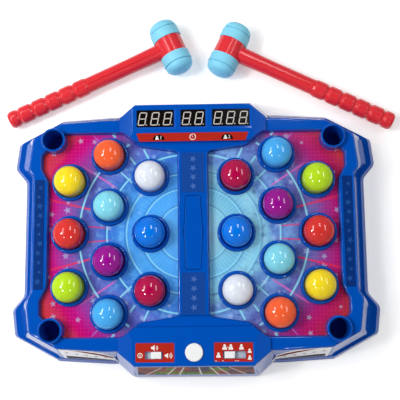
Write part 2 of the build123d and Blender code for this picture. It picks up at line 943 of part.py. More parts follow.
def battery_door():
    """The flush door of the battery bay, with the plug that keeps the cells in place."""
    plate = raised(door_outline(door_gap), case_bottom_z, case_bottom_z + door_thickness)
    width, length = bay_size(-door_gap)
    plug = block(width, length, case_bottom_z, plate_top_z, 0.0, battery_bay_y)
    well = tube(screw_head_radius + door_gap, case_bottom_z - overrun, door_seat_z, 0, door_screw_y())
    hole = tube(screw_shank_radius + running_gap, case_bottom_z, plate_top_z, 0, door_screw_y())
    return plate + plug - well - hole


def case_screws():
    """Pan-head screws: one in each boss and one in the battery door."""
    solids = []
    for x, y in screw_places():
        head = tube(screw_head_radius, plate_top_z - screw_head_height, plate_top_z, x, y)
        solids.append(head + tube(screw_shank_radius, plate_top_z, plate_top_z + screw_length, x, y))
    x, y = 0.0, door_screw_y()
    head = tube(screw_head_radius, case_bottom_z, door_seat_z, x, y)
    solids.append(head + tube(screw_shank_radius, door_seat_z, door_seat_z + door_screw_length, x, y))
    return solids


def rubber_feet():
    """Five rubber feet in their seats."""
    return [tube(foot_radius, 0.0, case_bottom_z + foot_seat, x, y) for x, y in foot_places()]


def battery_cells():
    """Round cells side by side, every second one turned round."""
    z = plate_top_z + running_gap + battery_radius
    cells = []
    for k in range(battery_count):
        x = (k - (battery_count - 1) / 2) * battery_pitch
        turn = 90 if k % 2 else -90
        can = Cylinder(battery_radius, battery_length)
        nub = Pos(0, 0, (battery_length + battery_nub_length) / 2)
        cell = can + nub * Cylinder(battery_nub_radius, battery_nub_length)
        shift = -battery_nub_length / 2
        cells.append(Pos(x, battery_bay_y, z) * Rot(turn, 0, 0) * Pos(0, 0, shift) * cell)
    return cells


def battery_contacts():
    """A spring-steel plate on the bay's wall at both ends of each cell."""
    length = bay_size()[1]
    z = plate_top_z + running_gap + battery_radius
    plates = []
    for k in range(battery_count):
        x = (k - (battery_count - 1) / 2) * battery_pitch
        for side in (1, -1):
            y = battery_bay_y + side * (length - contact_thickness) / 2
            plates.append(Pos(x, y, z) * Box(contact_size, contact_thickness, contact_size))
    return plates


def speaker():
    """A small cone speaker over the sound holes."""
    cone = tube(speaker_radius, plate_top_z, plate_top_z + speaker_cone_height, 0, speaker_y)
    magnet = tube(speaker_magnet_radius, plate_top_z, plate_top_z + speaker_height, 0, speaker_y)
    return cone + magnet


def digit_module(x, digits):
    """A digit module with its face just below the panel."""
    low = display_board_z + board_thickness
    high = low + digit_module_height
    return block(digit_module_width(digits), digit_module_depth, low, high, x, window_y)


def display_board():
    """The board that carries the three digit modules."""
    left = left_window_x - digit_module_width(3) / 2 - display_board_margin
    right = right_window_x + digit_module_width(3) / 2 + display_board_margin
    depth = digit_module_depth + 2 * display_board_margin
    top = display_board_z + board_thickness
    return block(right - left, depth, display_board_z, top, (left + right) / 2, window_y)


def control_board():
    """The board that carries the two slide switches and the push switch."""
    top = control_board_z + board_thickness
    return block(2 * control_board_half_width, control_board_depth, control_board_z, top, 0.0, control_y)


def start_button():
    """The round white start button with its lip and stem."""
    lip_top = front_console_z - wall - running_gap
    lip_low = lip_top - button_lip_thickness
    cap = tube(button_radius, lip_low, front_console_z + button_height, 0, control_y)
    cap = fillet(cap.edges().sort_by(Axis.Z)[-1], button_round)
    lip = tube(button_radius + button_lip, lip_low, lip_top, 0, control_y)
    stem = tube(button_stem_radius, lip_low - button_stem_length, lip_low, 0, control_y)
    return cap + lip + stem


def start_switch():
    """The push switch under the start button."""
    low = control_board_z + board_thickness
    lip_low = front_console_z - wall - running_gap - button_lip_thickness
    plunger_top = lip_low - button_stem_length - button_travel - running_gap
    body_top = plunger_top - tact_plunger_height
    body = block(tact_switch_size, tact_switch_size, low, body_top, 0, control_y)
    return body + tube(tact_plunger_radius, body_top, plunger_top, 0, control_y)


def knob_travel(slot_length):
    """How far a slider moves in its slot."""
    return slot_length - 2 * switch_stop - knob_length


def slide_knob(slot_x, slot_length, side):
    """A white slider at one end of its slot, with lips below the panel."""
    x = slot_x + side * knob_travel(slot_length) / 2
    lip_top = front_console_z - wall - running_gap
    lip_low = lip_top - knob_lip_thickness
    knob_top = front_console_z + knob_height
    stem = block(knob_length, slot_height - 2 * running_gap, lip_low, knob_top, x, slot_y)
    stem = fillet(stem.edges().group_by(Axis.Z)[-1], knob_round)
    return stem + block(knob_length, slot_height + 2 * knob_lip, lip_low, lip_top, x, slot_y)


def slide_switch(slot_x, slot_length):
    """The metal body of a slide switch, seen through the slot."""
    low = control_board_z + board_thickness
    high = front_console_z - wall - 2 * running_gap - knob_lip_thickness
    width = slot_length + 2 * switch_body_margin
    return block(width, slot_height + 2 * switch_body_margin, low, high, slot_x, slot_y)


def centre_cover():
    """The snap-in cover of the middle bar."""
    low = bar_z - cover_sink - cover_thickness
    cover = raised(cover_face(), low, bar_z - cover_sink)
    return fillet(cover.edges().group_by(Axis.Z)[-1], cover_edge_round)


def grip_profile():
    """Half section of the handle from the barrel's middle to the end of the grip."""
    start = mallet_reach - grip_end_bead - grip_beads * grip_pitch
    neck_end = barrel_radius + shaft_neck_length
    neck_radius = barrel_length / 2 - shaft_neck_gap
    points = [(0.0, 0.0), (0.0, neck_radius), (barrel_radius, neck_radius)]
    points.append((neck_end, shaft_radius))
    radii = [0.0, 0.0, 0.0, shaft_neck_length]
    ends = [start + k * grip_pitch for k in range(grip_beads + 1)] + [mallet_reach]
    for k, (low, high) in enumerate(zip(ends, ends[1:])):
        first = shaft_radius if k == 0 else grip_groove_radius
        points += [(low, first), (low + grip_shoulder, grip_radius), (high - grip_shoulder, grip_radius)]
        radii += [grip_groove_round, grip_bead_round, grip_bead_round]
    points += [(mallet_reach, grip_groove_radius), (mallet_reach, 0.0)]
    radii += [grip_shoulder / 2, 0.0]
    return outline(points, radii)


def mallet_handle():
    """Grip, shaft, barrel and the two cores that hold the caps, along +X."""
    handle = revolve(grip_profile(), Axis.X)
    start = mallet_reach - grip_end_bead - grip_beads * grip_pitch
    rib_length = start - grip_shoulder
    rib = Box(rib_length, shaft_rib_width, 2 * (shaft_radius + shaft_rib_height))
    handle = handle + Pos(rib_length / 2 + grip_shoulder, 0, 0) * rib
    barrel = Rot(90, 0, 0) * Cylinder(barrel_radius, barrel_length)
    core = Rot(90, 0, 0) * Cylinder(head_core_radius, barrel_length + 2 * head_core_length)
    return handle + barrel + core


def mallet_cap():
    """A soft cap on the end of the head: sleeve, groove and rounded end, towards +Y."""
    low = barrel_length / 2
    sleeve_top = low + cap_sleeve
    dome_low = sleeve_top + cap_groove
    neck = cap_radius - cap_groove_depth
    sides = [(0.0, low), (cap_radius, low), (cap_radius, sleeve_top), (neck, sleeve_top)]
    sides += [(neck, dome_low), (0.0, dome_low)]
    radii = [0.0, cap_edge_round, cap_edge_round, 0.0, 0.0, 0.0]
    sleeve = revolve(Plane.XZ * outline(sides, radii), Axis.Z)
    skirt_top = dome_low + cap_dome_skirt
    end = domed(cap_radius - cap_dome_step, cap_dome, cap_shoulder_round, dome_low, skirt_top)
    bore = tube(head_core_radius + seat_gap, low - overrun, low + head_core_length + seat_gap)
    return Rot(-90, 0, 0) * (sleeve + end - bore)


def mallet_place(x, y, turn):
    """A mallet lying on the table: it rests on its caps and on the end of its grip."""
    tilt = degrees(asin((cap_radius - grip_radius) / mallet_reach))
    return Pos(x, y, cap_radius) * Rot(0, 0, turn) * Rot(0, tilt, 0)


def mallets():
    """Both mallets, each with its handle and two caps."""
    pieces = {}
    places = [
        ("left_mallet_", "front_cap", "back_cap", left_head_x, left_head_y, left_mallet_turn),
        ("right_mallet_", "back_cap", "front_cap", right_head_x, right_head_y, right_mallet_turn),
    ]
    for mallet, first, second, x, y, turn in places:
        place = mallet_place(x, y, turn)
        pieces[mallet + "handle"] = place * mallet_handle()
        pieces[mallet + first] = place * mallet_cap()
        pieces[mallet + second] = place * Rot(0, 0, 180) * mallet_cap()
    return pieces


def whole_game():
    """Every piece by its name."""
    pieces = {
        "top_shell": top_shell(),
        "bottom_cover": bottom_cover(),
        "battery_door": battery_door(),
        "battery_cells": Compound(children=battery_cells()),
        "battery_contacts": Compound(children=battery_contacts()),
        "rubber_feet": Compound(children=rubber_feet()),
        "case_screws": Compound(children=case_screws()),
        "speaker": speaker(),
        "right_field_sheet": field_sheet(),
        "left_field_sheet": mirror(field_sheet(), about=Plane.YZ),
        "right_mole_board": mole_board(),
        "left_mole_board": mirror(mole_board(), about=Plane.YZ),
        "display_board": display_board(),
        "control_board": control_board(),
        "start_button": start_button(),
        "start_switch": start_switch(),
        "power_knob": slide_knob(power_slot_x, power_slot_length, 1),
        "power_switch": slide_switch(power_slot_x, power_slot_length),
        "mode_knob": slide_knob(mode_slot_x, mode_slot_length, -1),
        "mode_switch": slide_switch(mode_slot_x, mode_slot_length),
        "centre_cover": centre_cover(),
    }
    for name, x, digits in windows():
        pieces[name] = digit_module(x, digits)
    for name, x, y in all_moles():
        pieces["mole_" + name] = Pos(x, y, 0) * mole()
    for side in ("left", "right"):
        places = [(x, y) for name, x, y in all_moles() if name.startswith(side)]
        pads = [Pos(x, y, 0) * return_pad() for x, y in places]
        pieces[side + "_return_pads"] = Compound(children=pads)
    lamps = [Pos(x, y, 0) * mole_led() for name, x, y in all_moles()]
    pieces["mole_lamps"] = Compound(children=lamps)
    pieces.update(mallets())
    return pieces


os.makedirs("parts", exist_ok=True)
for name, piece in whole_game().items():
    export_step(piece, "parts/" + name + ".step")
    print(name, len(piece.solids()), round(piece.volume))
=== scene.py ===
from math import cos, pi, radians, sin, tan

import bmesh
import bpy
from mathutils import Matrix, Vector
from mathutils.bvhtree import BVHTree


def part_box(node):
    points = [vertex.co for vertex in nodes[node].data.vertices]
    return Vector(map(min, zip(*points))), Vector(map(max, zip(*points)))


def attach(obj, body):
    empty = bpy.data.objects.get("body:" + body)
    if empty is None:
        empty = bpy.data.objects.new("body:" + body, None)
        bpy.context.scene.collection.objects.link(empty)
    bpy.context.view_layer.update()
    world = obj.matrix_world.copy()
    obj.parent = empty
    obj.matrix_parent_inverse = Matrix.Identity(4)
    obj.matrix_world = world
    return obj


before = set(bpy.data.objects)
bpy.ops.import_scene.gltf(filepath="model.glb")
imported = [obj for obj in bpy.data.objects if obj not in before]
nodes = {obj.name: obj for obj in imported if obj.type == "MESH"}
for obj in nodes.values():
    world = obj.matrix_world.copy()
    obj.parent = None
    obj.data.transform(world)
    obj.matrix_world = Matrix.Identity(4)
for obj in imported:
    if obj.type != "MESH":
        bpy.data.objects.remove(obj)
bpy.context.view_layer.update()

bl_info = {
    "name": "Mole Pounding Game",
    "version": (1, 0),
    "blender": (4, 5, 0),
    "location": "3D View > Sidebar > Moles",
    "description": "Finishes, prints and small pieces of a two player mole pounding game",
    "category": "Object",
}

millimetre = 0.001
case = "board"
sides = (("right", 1), ("left", -1))


def linear(code):
    """The linear values of a colour written as on a colour card, by the usual screen curve."""
    knee, slope, lift, power = 0.04045, 12.92, 0.055, 2.4
    parts = [int(code[k : k + 2], 16) / 255 for k in (1, 3, 5)]
    return tuple(p / slope if p <= knee else ((p + lift) / (1 + lift)) ** power for p in parts)


def colour_setting(name, description, code):
    """A colour that a user may change."""
    return bpy.props.FloatVectorProperty(
        name=name,
        description=description,
        subtype="COLOR",
        size=3,
        min=0,
        max=1,
        default=linear(code),
    )


def length_setting(name, description, size):
    """A length that a user may change, given in millimetres."""
    return bpy.props.FloatProperty(
        name=name,
        description=description,
        unit="LENGTH",
        default=size * millimetre,
        min=0,
        precision=5,
    )


def share_setting(name, description, share):
    """A share between nothing and all."""
    return bpy.props.FloatProperty(
        name=name, description=description, subtype="FACTOR", default=share, min=0, max=1
    )


class CaseSettings(bpy.types.PropertyGroup):
    """The moulded case."""

    blue: colour_setting("Case blue", "Colour of the upper case", "#0052BA")
    under_blue: colour_setting("Lower case blue", "Colour of the lower case and the battery door", "#0A48AC")
    roughness: share_setting("Roughness", "Roughness of the glossy case", 0.06)
    rubber: colour_setting("Feet", "Colour of the rubber feet", "#26272B")


class FieldSettings(bpy.types.PropertyGroup):
    """The print of the play fields."""

    dark: colour_setting("Dark clouds", "Colour of the dark clouds in the print", "#262C8C")
    pale: colour_setting("Pale clouds", "Colour of the pale clouds near the bar", "#8AD8FA")
    dot: colour_setting("Dots", "Colour of the dots near the rims", "#FF3A90")
    fan: colour_setting("Fan", "Colour of the fan near the bar", "#2A7CD0")
    shadow: colour_setting("Ring shadows", "Colour beside the rings", "#3A6AB0")
    line: colour_setting("Rings", "Colour of the rings and struts", "#96E4FA")
    star: colour_setting("Stars", "Colour of the scattered stars", "#B4D2FA")


class HeadSettings(bpy.types.PropertyGroup):
    """The mole heads."""

    orange: colour_setting("Orange", "Colour of the orange heads", "#FF6434")
    yellow: colour_setting("Yellow", "Colour of the yellow heads", "#FFE222")
    white: colour_setting("White", "Colour of the white heads", "#E8EEFA")
    cyan: colour_setting("Cyan", "Colour of the cyan heads", "#84DCF2")
    red: colour_setting("Red", "Colour of the red heads", "#DE3430")
    blue: colour_setting("Blue", "Colour of the blue heads", "#0078EA")
    purple: colour_setting("Purple", "Colour of the purple heads", "#9A0C92")
    lime: colour_setting("Lime", "Colour of the lime heads", "#BCE620")
    crimson: colour_setting("Crimson", "Colour of the crimson heads", "#B6064A")
    sky: colour_setting("Sky", "Colour of the sky blue heads", "#48B0F8")
    # The petal rosette is painted shade: tone that stands in for the light and shade of shallow dents round
    # the top
    petal_shade: share_setting("Petal shade", "How much the rosette round the top differs in tone", 0.03)
    roughness: share_setting("Roughness", "Roughness of the heads", 0.08)


class PrintSettings(bpy.types.PropertyGroup):
    """The printed films."""

    film: length_setting("Film", "Thickness of the label film", 0.12)
    ink: length_setting("Ink", "Height of the printed shapes over the film", 0.03)
    red: colour_setting("Label red", "Colour of the control labels", "#B72A1E")
    light: colour_setting("Light print", "Colour of signs on the red labels", "#F4F0EA")
    slate: colour_setting("Bar label", "Colour of the labels on the middle bar", "#17479A")
    bar_star: colour_setting("Bar stars", "Colour of the stars on the middle bar", "#466CB6")
    navy: colour_setting("Rim label", "Colour of the labels on the side rims", "#08327A")
    rim_star: colour_setting("Rim stars", "Colour of the stars on the side rims", "#1E509C")
    paper: colour_setting("Wall label", "Colour of the labels on the corner walls", "#F6F5F8")
    wall_star: colour_setting("Wall stars", "Colour of the stars on the corner walls", "#7C7E88")
    stripe: colour_setting("Stripe", "Colour of the stripe on the corner walls", "#7E1A14")
    wall_grey: colour_setting("Wall band", "Colour of the band below the stars", "#5E6274")
    sand: colour_setting("Wall line", "Colour of the line at the foot of a corner wall", "#A9A39A")


class DisplaySettings(bpy.types.PropertyGroup):
    """The digit modules."""

    face: colour_setting("Face", "Colour of the module faces", "#100C0C")
    segment: colour_setting("Segments", "Colour of the unlit segments", "#CEC8C0")
    height: length_setting("Digit height", "Height of a digit", 13.6)
    width: length_setting("Digit width", "Width of a digit", 7.8)
    line: length_setting("Segment width", "Width of a segment", 1.0)
    slant: bpy.props.FloatProperty(
        name="Slant",
        description="Lean of the digits",
        subtype="ANGLE",
        unit="ROTATION",
        default=radians(10),
    )


class MalletSettings(bpy.types.PropertyGroup):
    """The two mallets."""

    red: colour_setting("Handle red", "Colour of the handles", "#E8303A")
    blue: colour_setting("Cap blue", "Colour of the soft caps", "#8ADDF8")
    roughness: share_setting("Roughness", "Roughness of the handles", 0.2)


class StageSettings(bpy.types.PropertyGroup):
    """The floor, light and camera."""

    floor: colour_setting("Floor", "Colour of the floor", "#FAFAFA")
    glow: share_setting("Floor glow", "How much the floor shines towards the camera", 0.32)
    lens: bpy.props.FloatProperty(
        name="Lens",
        description="Focal length of the camera",
        subtype="DISTANCE_CAMERA",
        default=68.4,
    )


def part_settings(kind, name):
    """A named group of settings, described as its class is."""
    description = kind.__doc__.rstrip(".")
    return bpy.props.PointerProperty(type=kind, name=name, description=description)


class MoleGameSettings(bpy.types.PropertyGroup):
    """All settings of the game."""

    case: part_settings(CaseSettings, "Case")
    fields: part_settings(FieldSettings, "Play fields")
    heads: part_settings(HeadSettings, "Heads")
    prints: part_settings(PrintSettings, "Prints")
    displays: part_settings(DisplaySettings, "Displays")
    mallets: part_settings(MalletSettings, "Mallets")
    stage: part_settings(StageSettings, "Stage")


# Shader wiring


class Signal:
    """A value that runs along a wire, with plain arithmetic."""

    def __init__(self, wires, socket):
        self.wires = wires
        self.socket = socket

    def __add__(self, other):
        return self.wires.math("ADD", self, other)

    def __sub__(self, other):
        return self.wires.math("SUBTRACT", self, other)

    def __rsub__(self, other):
        return self.wires.math("SUBTRACT", other, self)

    def __mul__(self, other):
        return self.wires.math("MULTIPLY", self, other)

    def __truediv__(self, other):
        return self.wires.math("DIVIDE", self, other)

    def __abs__(self):
        return self.wires.math("ABSOLUTE", self)

    __radd__ = __add__
    __rmul__ = __mul__


class Wiring:
    """A node tree with short ways to add nodes and to join them."""

    # A Mix node has sockets for each kind of value; these are the ones for colours
    mix_share = 0
    mix_base = 6
    mix_over = 7
    mix_result = 2

    def __init__(self, tree):
        self.tree = tree

    def add(self, kind, inputs=None, **settings):
        """A new node with its inputs joined by name."""
        node = self.tree.nodes.new("ShaderNode" + kind)
        for name, value in settings.items():
            setattr(node, name, value)
        for name, value in (inputs or {}).items():
            self.join(node.inputs[name], value)
        return node

    def join(self, socket, value):
        """Feeds a wire, a colour or a number to a socket."""
        if isinstance(value, Signal):
            value = value.socket
        if isinstance(value, bpy.types.NodeSocket):
            self.tree.links.new(value, socket)
            return
        if isinstance(value, str):
            value = linear(value)
        if socket.type == "RGBA" and len(value) == 3:
            value = tuple(value) + (1.0,)
        socket.default_value = value

    def math(self, operation, *values):
        """A Math node."""
        node = self.add("Math", operation=operation)
        for socket, value in zip(node.inputs, values):
            self.join(socket, value)
        return Signal(self, node.outputs[0])

    def rise(self, value, start, end):
        """Nothing up to start and all from end, with a soft change between."""
        inputs = {"Value": value, "From Min": start, "From Max": end}
        return Signal(self, self.add("MapRange", inputs, interpolation_type="SMOOTHSTEP").outputs[0])

    def fall(self, value, start, end):
        """All up to start and nothing from end, with a soft change between."""
        return 1 - self.rise(value, start, end)

    def band(self, value, middle, width, soft):
        """A soft-edged line where a value is near its middle."""
        return self.fall(abs(value - middle), (width - soft) / 2, (width + soft) / 2)

    def away(self, x, y):
        """How far a place is from the middle."""
        return self.math("SQRT", x * x + y * y)

    def heading(self, x, y):
        """The direction of a place from the middle, in radians."""
        return self.math("ARCTAN2", y, x)

    def point(self, centre=(0, 0, 0)):
        """The place on the piece in millimetres, about a centre given in metres."""
        inputs = {
            "Vector": self.add("TexCoord").outputs["Object"],
            "Location": centre,
            "Scale": (millimetre, millimetre, millimetre),
        }
        return self.add("Mapping", inputs, vector_type="TEXTURE").outputs[0]

    def split(self, vector):
        """The three parts of a vector."""
        node = self.add("SeparateXYZ", {"Vector": vector})
        return [Signal(self, socket) for socket in node.outputs]

    def noise(self, point, size, detail=2.0, rough=0.5):
        """Cloudy noise with spots of about a size in millimetres."""
        inputs = {"Vector": point, "Scale": 1 / size, "Detail": detail, "Roughness": rough}
        return Signal(self, self.add("TexNoise", inputs).outputs[0])

    def cells(self, point, size, randomness, **settings):
        """Cells of about a size in millimetres."""
        inputs = {"Vector": point, "Scale": 1 / size, "Randomness": randomness}
        return self.add("TexVoronoi", inputs, **settings).outputs

    def stretched(self, point, scale):
        """A point scaled along each axis."""
        return self.add("Mapping", {"Vector": point, "Scale": scale}).outputs[0]

    def ramp(self, value, stops):
        """Colours along a value."""
        node = self.add("ValToRGB", {"Fac": value})
        elements = node.color_ramp.elements
        while len(elements) < len(stops):
            elements.new(1.0)
        for element, (position, colour) in zip(elements, stops):
            element.position = position
            element.color = linear(colour) + (1.0,)
        return node.outputs[0]

    def mix(self, base, over, mask):
        """A colour laid over another by a mask."""
        node = self.add("Mix", data_type="RGBA")
        self.join(node.inputs[self.mix_share], mask)
        self.join(node.inputs[self.mix_base], base)
        self.join(node.inputs[self.mix_over], over)
        return node.outputs[self.mix_result]

    def shade(self, colour, factor):
        """A colour made lighter or darker."""
        node = self.add("VectorMath", operation="SCALE")
        self.join(node.inputs[0], colour)
        self.join(node.inputs["Scale"], factor)
        return node.outputs[0]

    def bump(self, height, depth):
        """A normal raised by a height, with its depth in millimetres."""
        return self.add("Bump", {"Height": height, "Distance": depth * millimetre}).outputs[0]

    def feed(self, sockets, values):
        """Joins values to sockets by name."""
        for name, value in values.items():
            self.join(sockets[name], value)


def new_skin(name, *values):
    """An empty group: a colour and values go in, and a colour, roughness and normal come out."""
    group = bpy.data.node_groups.new(name, "ShaderNodeTree")
    ways_in = [("Colour", "Color")] + [(value, "Float") for value in values]
    ways_out = [("Colour", "Color"), ("Roughness", "Float"), ("Normal", "Vector")]
    for way, ends in (("INPUT", ways_in), ("OUTPUT", ways_out)):
        for label, kind in ends:
            group.interface.new_socket(name=label, in_out=way, socket_type="NodeSocket" + kind)
    wires = Wiring(group)
    given = {socket.name: Signal(wires, socket) for socket in group.nodes.new("NodeGroupInput").outputs}
    return group, wires, given, group.nodes.new("NodeGroupOutput").inputs


def moulded_plastic():
    """Moulding: cloudy colour, wavy faces, fine grain and rubbed streaks."""
    name = "Moulded plastic"
    if name in bpy.data.node_groups:
        return bpy.data.node_groups[name]
    group, wires, given, result = new_skin(name, "Roughness", "Mottle", "Waves", "Grain", "Rubbing")
    point = wires.point()
    cloud = wires.noise(point, size=24.0, detail=3.0) - 0.5
    speck = wires.noise(point, size=0.7, detail=1.0) - 0.5
    tone = 1 + (cloud * 2 + speck) * given["Mottle"]
    streaks = wires.noise(wires.stretched(point, (0.08, 1.0, 0.4)), size=1.6, detail=3.0)
    patches = wires.rise(wires.noise(point, size=14.0), 0.5, 0.7)
    rubbed = wires.rise(streaks, 0.58, 0.7) * patches * given["Rubbing"]
    waves = wires.noise(point, size=17.0, detail=1.0) * given["Waves"]
    grain = wires.noise(point, size=0.35) * given["Grain"]
    wires.feed(
        result,
        {
            "Colour": wires.shade(given["Colour"], tone),
            "Roughness": given["Roughness"] + rubbed + cloud * 0.02,
            "Normal": wires.bump(waves + grain, depth=1.0),
        },
    )
    return group


def printed_film():
    """A glossy printed film: a fine screen in the ink and a slightly uneven lacquer."""
    name = "Printed film"
    if name in bpy.data.node_groups:
        return bpy.data.node_groups[name]
    group, wires, given, result = new_skin(name, "Screen", "Pitch")
    point = wires.point()
    x, y, z = wires.split(point)
    across, along = [wires.math("SINE", way / given["Pitch"] * (2 * pi)) for way in (x, y)]
    cloud = wires.noise(point, size=9.0, detail=3.0) - 0.5
    tone = 1 + (across * along * 0.5 + cloud) * given["Screen"]
    wires.feed(
        result,
        {
            "Colour": wires.shade(given["Colour"], tone),
            "Roughness": wires.noise(point, size=5.0) * 0.06 + 0.1,
            "Normal": wires.bump(wires.noise(point, size=3.0), depth=0.012),
        },
    )
    return group


def bare_metal():
    """Brushed or plated metal: long fine scratches and slight tarnish."""
    name = "Bare metal"
    if name in bpy.data.node_groups:
        return bpy.data.node_groups[name]
    group, wires, given, result = new_skin(name, "Roughness", "Tarnish")
    point = wires.point()
    hair = wires.noise(wires.stretched(point, (0.1, 2.0, 2.0)), size=0.5, detail=3.0)
    dull = wires.rise(wires.noise(point, size=3.0, detail=3.0), 0.45, 0.7) * given["Tarnish"]
    wires.feed(
        result,
        {
            "Colour": wires.shade(given["Colour"], 1 - dull * 0.6 + (hair - 0.5) * 0.15),
            "Roughness": given["Roughness"] + dull * 0.3 + hair * 0.1,
            "Normal": wires.bump(hair, depth=0.004),
        },
    )
    return group


def new_material(name, constants=None):
    """An empty material with its wiring and its shader; constants go on the shader's own sockets."""
    material = bpy.data.materials.new(name)
    material.use_nodes = True
    material.node_tree.nodes.clear()
    wires = Wiring(material.node_tree)
    shader = wires.add("BsdfPrincipled", constants)
    wires.add("OutputMaterial", {"Surface": shader.outputs[0]})
    return material, wires, shader


def dress(wires, shader, skin, **values):
    """Lays a shared skin with its own values on a shader."""
    found = wires.add("Group", values, node_tree=skin).outputs
    looks = {"Base Color": found["Colour"], "Roughness": found["Roughness"], "Normal": found["Normal"]}
    wires.feed(shader.inputs, looks)


def plastic(name, colour, roughness, constants=None, **values):
    """A moulded plastic with its mottle, waves, grain and rubbing."""
    material, wires, shader = new_material(name, constants)
    dress(wires, shader, moulded_plastic(), Colour=colour, Roughness=roughness, **values)
    return material


def film(name, colour, screen, pitch=1.6, shine=0.5):
    """A printed film or the ink on it."""
    material, wires, shader = new_material(name, {"Specular IOR Level": shine})
    dress(wires, shader, printed_film(), Colour=colour, Screen=screen, Pitch=pitch)
    return material


def metal(name, colour, roughness, tarnish):
    """A bare metal."""
    material, wires, shader = new_material(name, {"Metallic": 1.0})
    dress(wires, shader, bare_metal(), Colour=colour, Roughness=roughness, Tarnish=tarnish)
    return material


def paint(material, *names):
    """Gives CAD nodes a material in place of their plain one."""
    for name in names:
        for slot in nodes[name].material_slots:
            slot.material = material


# Mesh work, in millimetres

corner_steps = 5
star_rays = 5
full_turn = 360.0


def up_by(bm, faces, height):
    """Raises flat faces to a plate."""
    made = bmesh.ops.extrude_face_region(bm, geom=faces, use_keep_orig=True)["geom"]
    tops = [part for part in made if isinstance(part, bmesh.types.BMVert)]
    bmesh.ops.translate(bm, vec=(0, 0, height), verts=tops)


def raise_new(bm, known, low, high, paint_number):
    """Raises the faces made since a moment to a plate, and gives it its material number."""
    up_by(bm, [face for face in bm.faces if face not in known], high - low)
    paint_new(bm, known, paint_number)


def paint_new(bm, known, paint_number):
    """Gives the faces made since a moment their material number."""
    for face in bm.faces:
        if face not in known:
            face.material_index = paint_number


def round_corners(bm, corners, radius):
    """Rounds the corners of flat work."""
    bmesh.ops.bevel(
        bm,
        geom=corners,
        offset=radius,
        affect="VERTICES",
        segments=corner_steps,
        profile=0.5,
        material=-1,
    )


def plate(bm, points, low, high, paint_number=0, corner=0.0):
    """A thin plate with straight sides and round corners."""
    known = set(bm.faces)
    corners = [bm.verts.new((x, y, low)) for x, y in points]
    bm.faces.new(corners)
    if corner:
        round_corners(bm, corners, corner)
    raise_new(bm, known, low, high, paint_number)


def rectangle(x, y, width, depth):
    """The corners of a rectangle about its middle."""
    turns = ((-1, -1), (1, -1), (1, 1), (-1, 1))
    return [(x + sx * width / 2, y + sy * depth / 2) for sx, sy in turns]


def box_plate(bm, x, y, width, depth, low, high, paint_number=0, corner=0.0):
    """A rectangular plate about its middle."""
    plate(bm, rectangle(x, y, width, depth), low, high, paint_number, corner)


def disc(bm, x, y, radius, low, high, paint_number, segments):
    """A round plate."""
    known = set(bm.faces)
    bmesh.ops.create_cone(
        bm,
        cap_ends=True,
        segments=segments,
        radius1=radius,
        radius2=radius,
        depth=high - low,
        matrix=Matrix.Translation((x, y, (low + high) / 2)),
    )
    paint_new(bm, known, paint_number)


def star(bm, x, y, radius, low, high, paint_number, waist, turn):
    """A star with straight rays, turned by some degrees."""
    known = set(bm.faces)
    place = Matrix.Translation((x, y, low)) @ Matrix.Rotation(radians(turn), 4, "Z")
    rim = bmesh.ops.create_circle(
        bm, cap_ends=True, radius=radius, segments=2 * star_rays, matrix=place
    )
    middle = Vector((x, y, low))
    for vert in rim["verts"][1::2]:
        vert.co = middle + (vert.co - middle) * waist
    raise_new(bm, known, low, high, paint_number)


def ring(bm, x, y, inner, outer, low, high, paint_number, start=0.0, sweep=full_turn, steps=36):
    """A flat ring, or a part of one between angles in degrees."""
    known = set(bm.faces)
    along = Vector((cos(radians(start)), sin(radians(start)), 0))
    middle = Vector((x, y, low))
    ends = [bm.verts.new(middle + along * radius) for radius in (inner, outer)]
    bmesh.ops.spin(
        bm,
        geom=ends + [bm.edges.new(ends)],
        cent=middle,
        axis=(0, 0, 1),
        angle=radians(sweep),
        steps=steps,
        use_merge=sweep == full_turn,
    )
    raise_new(bm, known, low, high, paint_number)


def numeral(bm, words, x, y, size, low, high, paint_number):
    """A printed numeral."""
    known = set(bm.faces)
    curve = bpy.data.curves.new("numeral", "FONT")
    curve.body = words
    curve.size = size
    curve.align_x = "CENTER"
    curve.align_y = "CENTER"
    holder = bpy.data.objects.new("numeral", curve)
    bpy.context.scene.collection.objects.link(holder)
    ready = holder.evaluated_get(bpy.context.evaluated_depsgraph_get())
    flat = bpy.data.meshes.new_from_object(ready)
    flat.transform(Matrix.Translation((x, y, low)))
    bm.from_mesh(flat)
    bpy.data.objects.remove(holder)
    raise_new(bm, known, low, high, paint_number)


def settle(bm, name, materials, body, place=None):
    """Turns finished mesh work into a piece of the game that rides on a body."""
    if place is not None:
        bm.transform(place)
    bmesh.ops.recalc_face_normals(bm, faces=bm.faces[:])
    bm.transform(Matrix.Scale(millimetre, 4))
    mesh = bpy.data.meshes.new(name)
    bm.to_mesh(mesh)
    bm.free()
    for material in materials:
        mesh.materials.append(material)
    piece = bpy.data.objects.new(name, mesh)
    bpy.context.scene.collection.objects.link(piece)
    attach(piece, body)


def top_of(node):
    """The middle of the top of a CAD node's box, in metres."""
    low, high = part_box(node)
    middle = (low + high) / 2
    return Vector((middle.x, middle.y, high.z))


def on_top(node):
    """The place of mesh work that lies on top of a CAD node."""
    return Matrix.Translation(top_of(node) / millimetre)


# A height over the case, and a way out past its walls, from which labels are dropped on it

above = 80.0
outside = 300.0
down = (0, 0, -1)


def case_probe():
    """A way to find where a line in millimetres meets the upper case, and how the case faces there."""
    tree = BVHTree.FromObject(nodes["top_shell"], bpy.context.evaluated_depsgraph_get())

    def touch(start, way):
        place, normal = tree.ray_cast(Vector(start) * millimetre, Vector(way))[:2]
        if place is None:
            raise RuntimeError(f"the upper case doesn't lie on the line from {start}")
        return place / millimetre, normal

    return touch


def flat_on(start, way=down):
    """The place of a label on the upper case: its middle, its right and its upward way."""
    place, normal = case_probe()(start, way)
    right = Vector((1, 0, 0))
    right = (right - normal * right.dot(normal)).normalized()
    turn = Matrix((right, normal.cross(right), normal)).transposed().to_4x4()
    return Matrix.Translation(place) @ turn


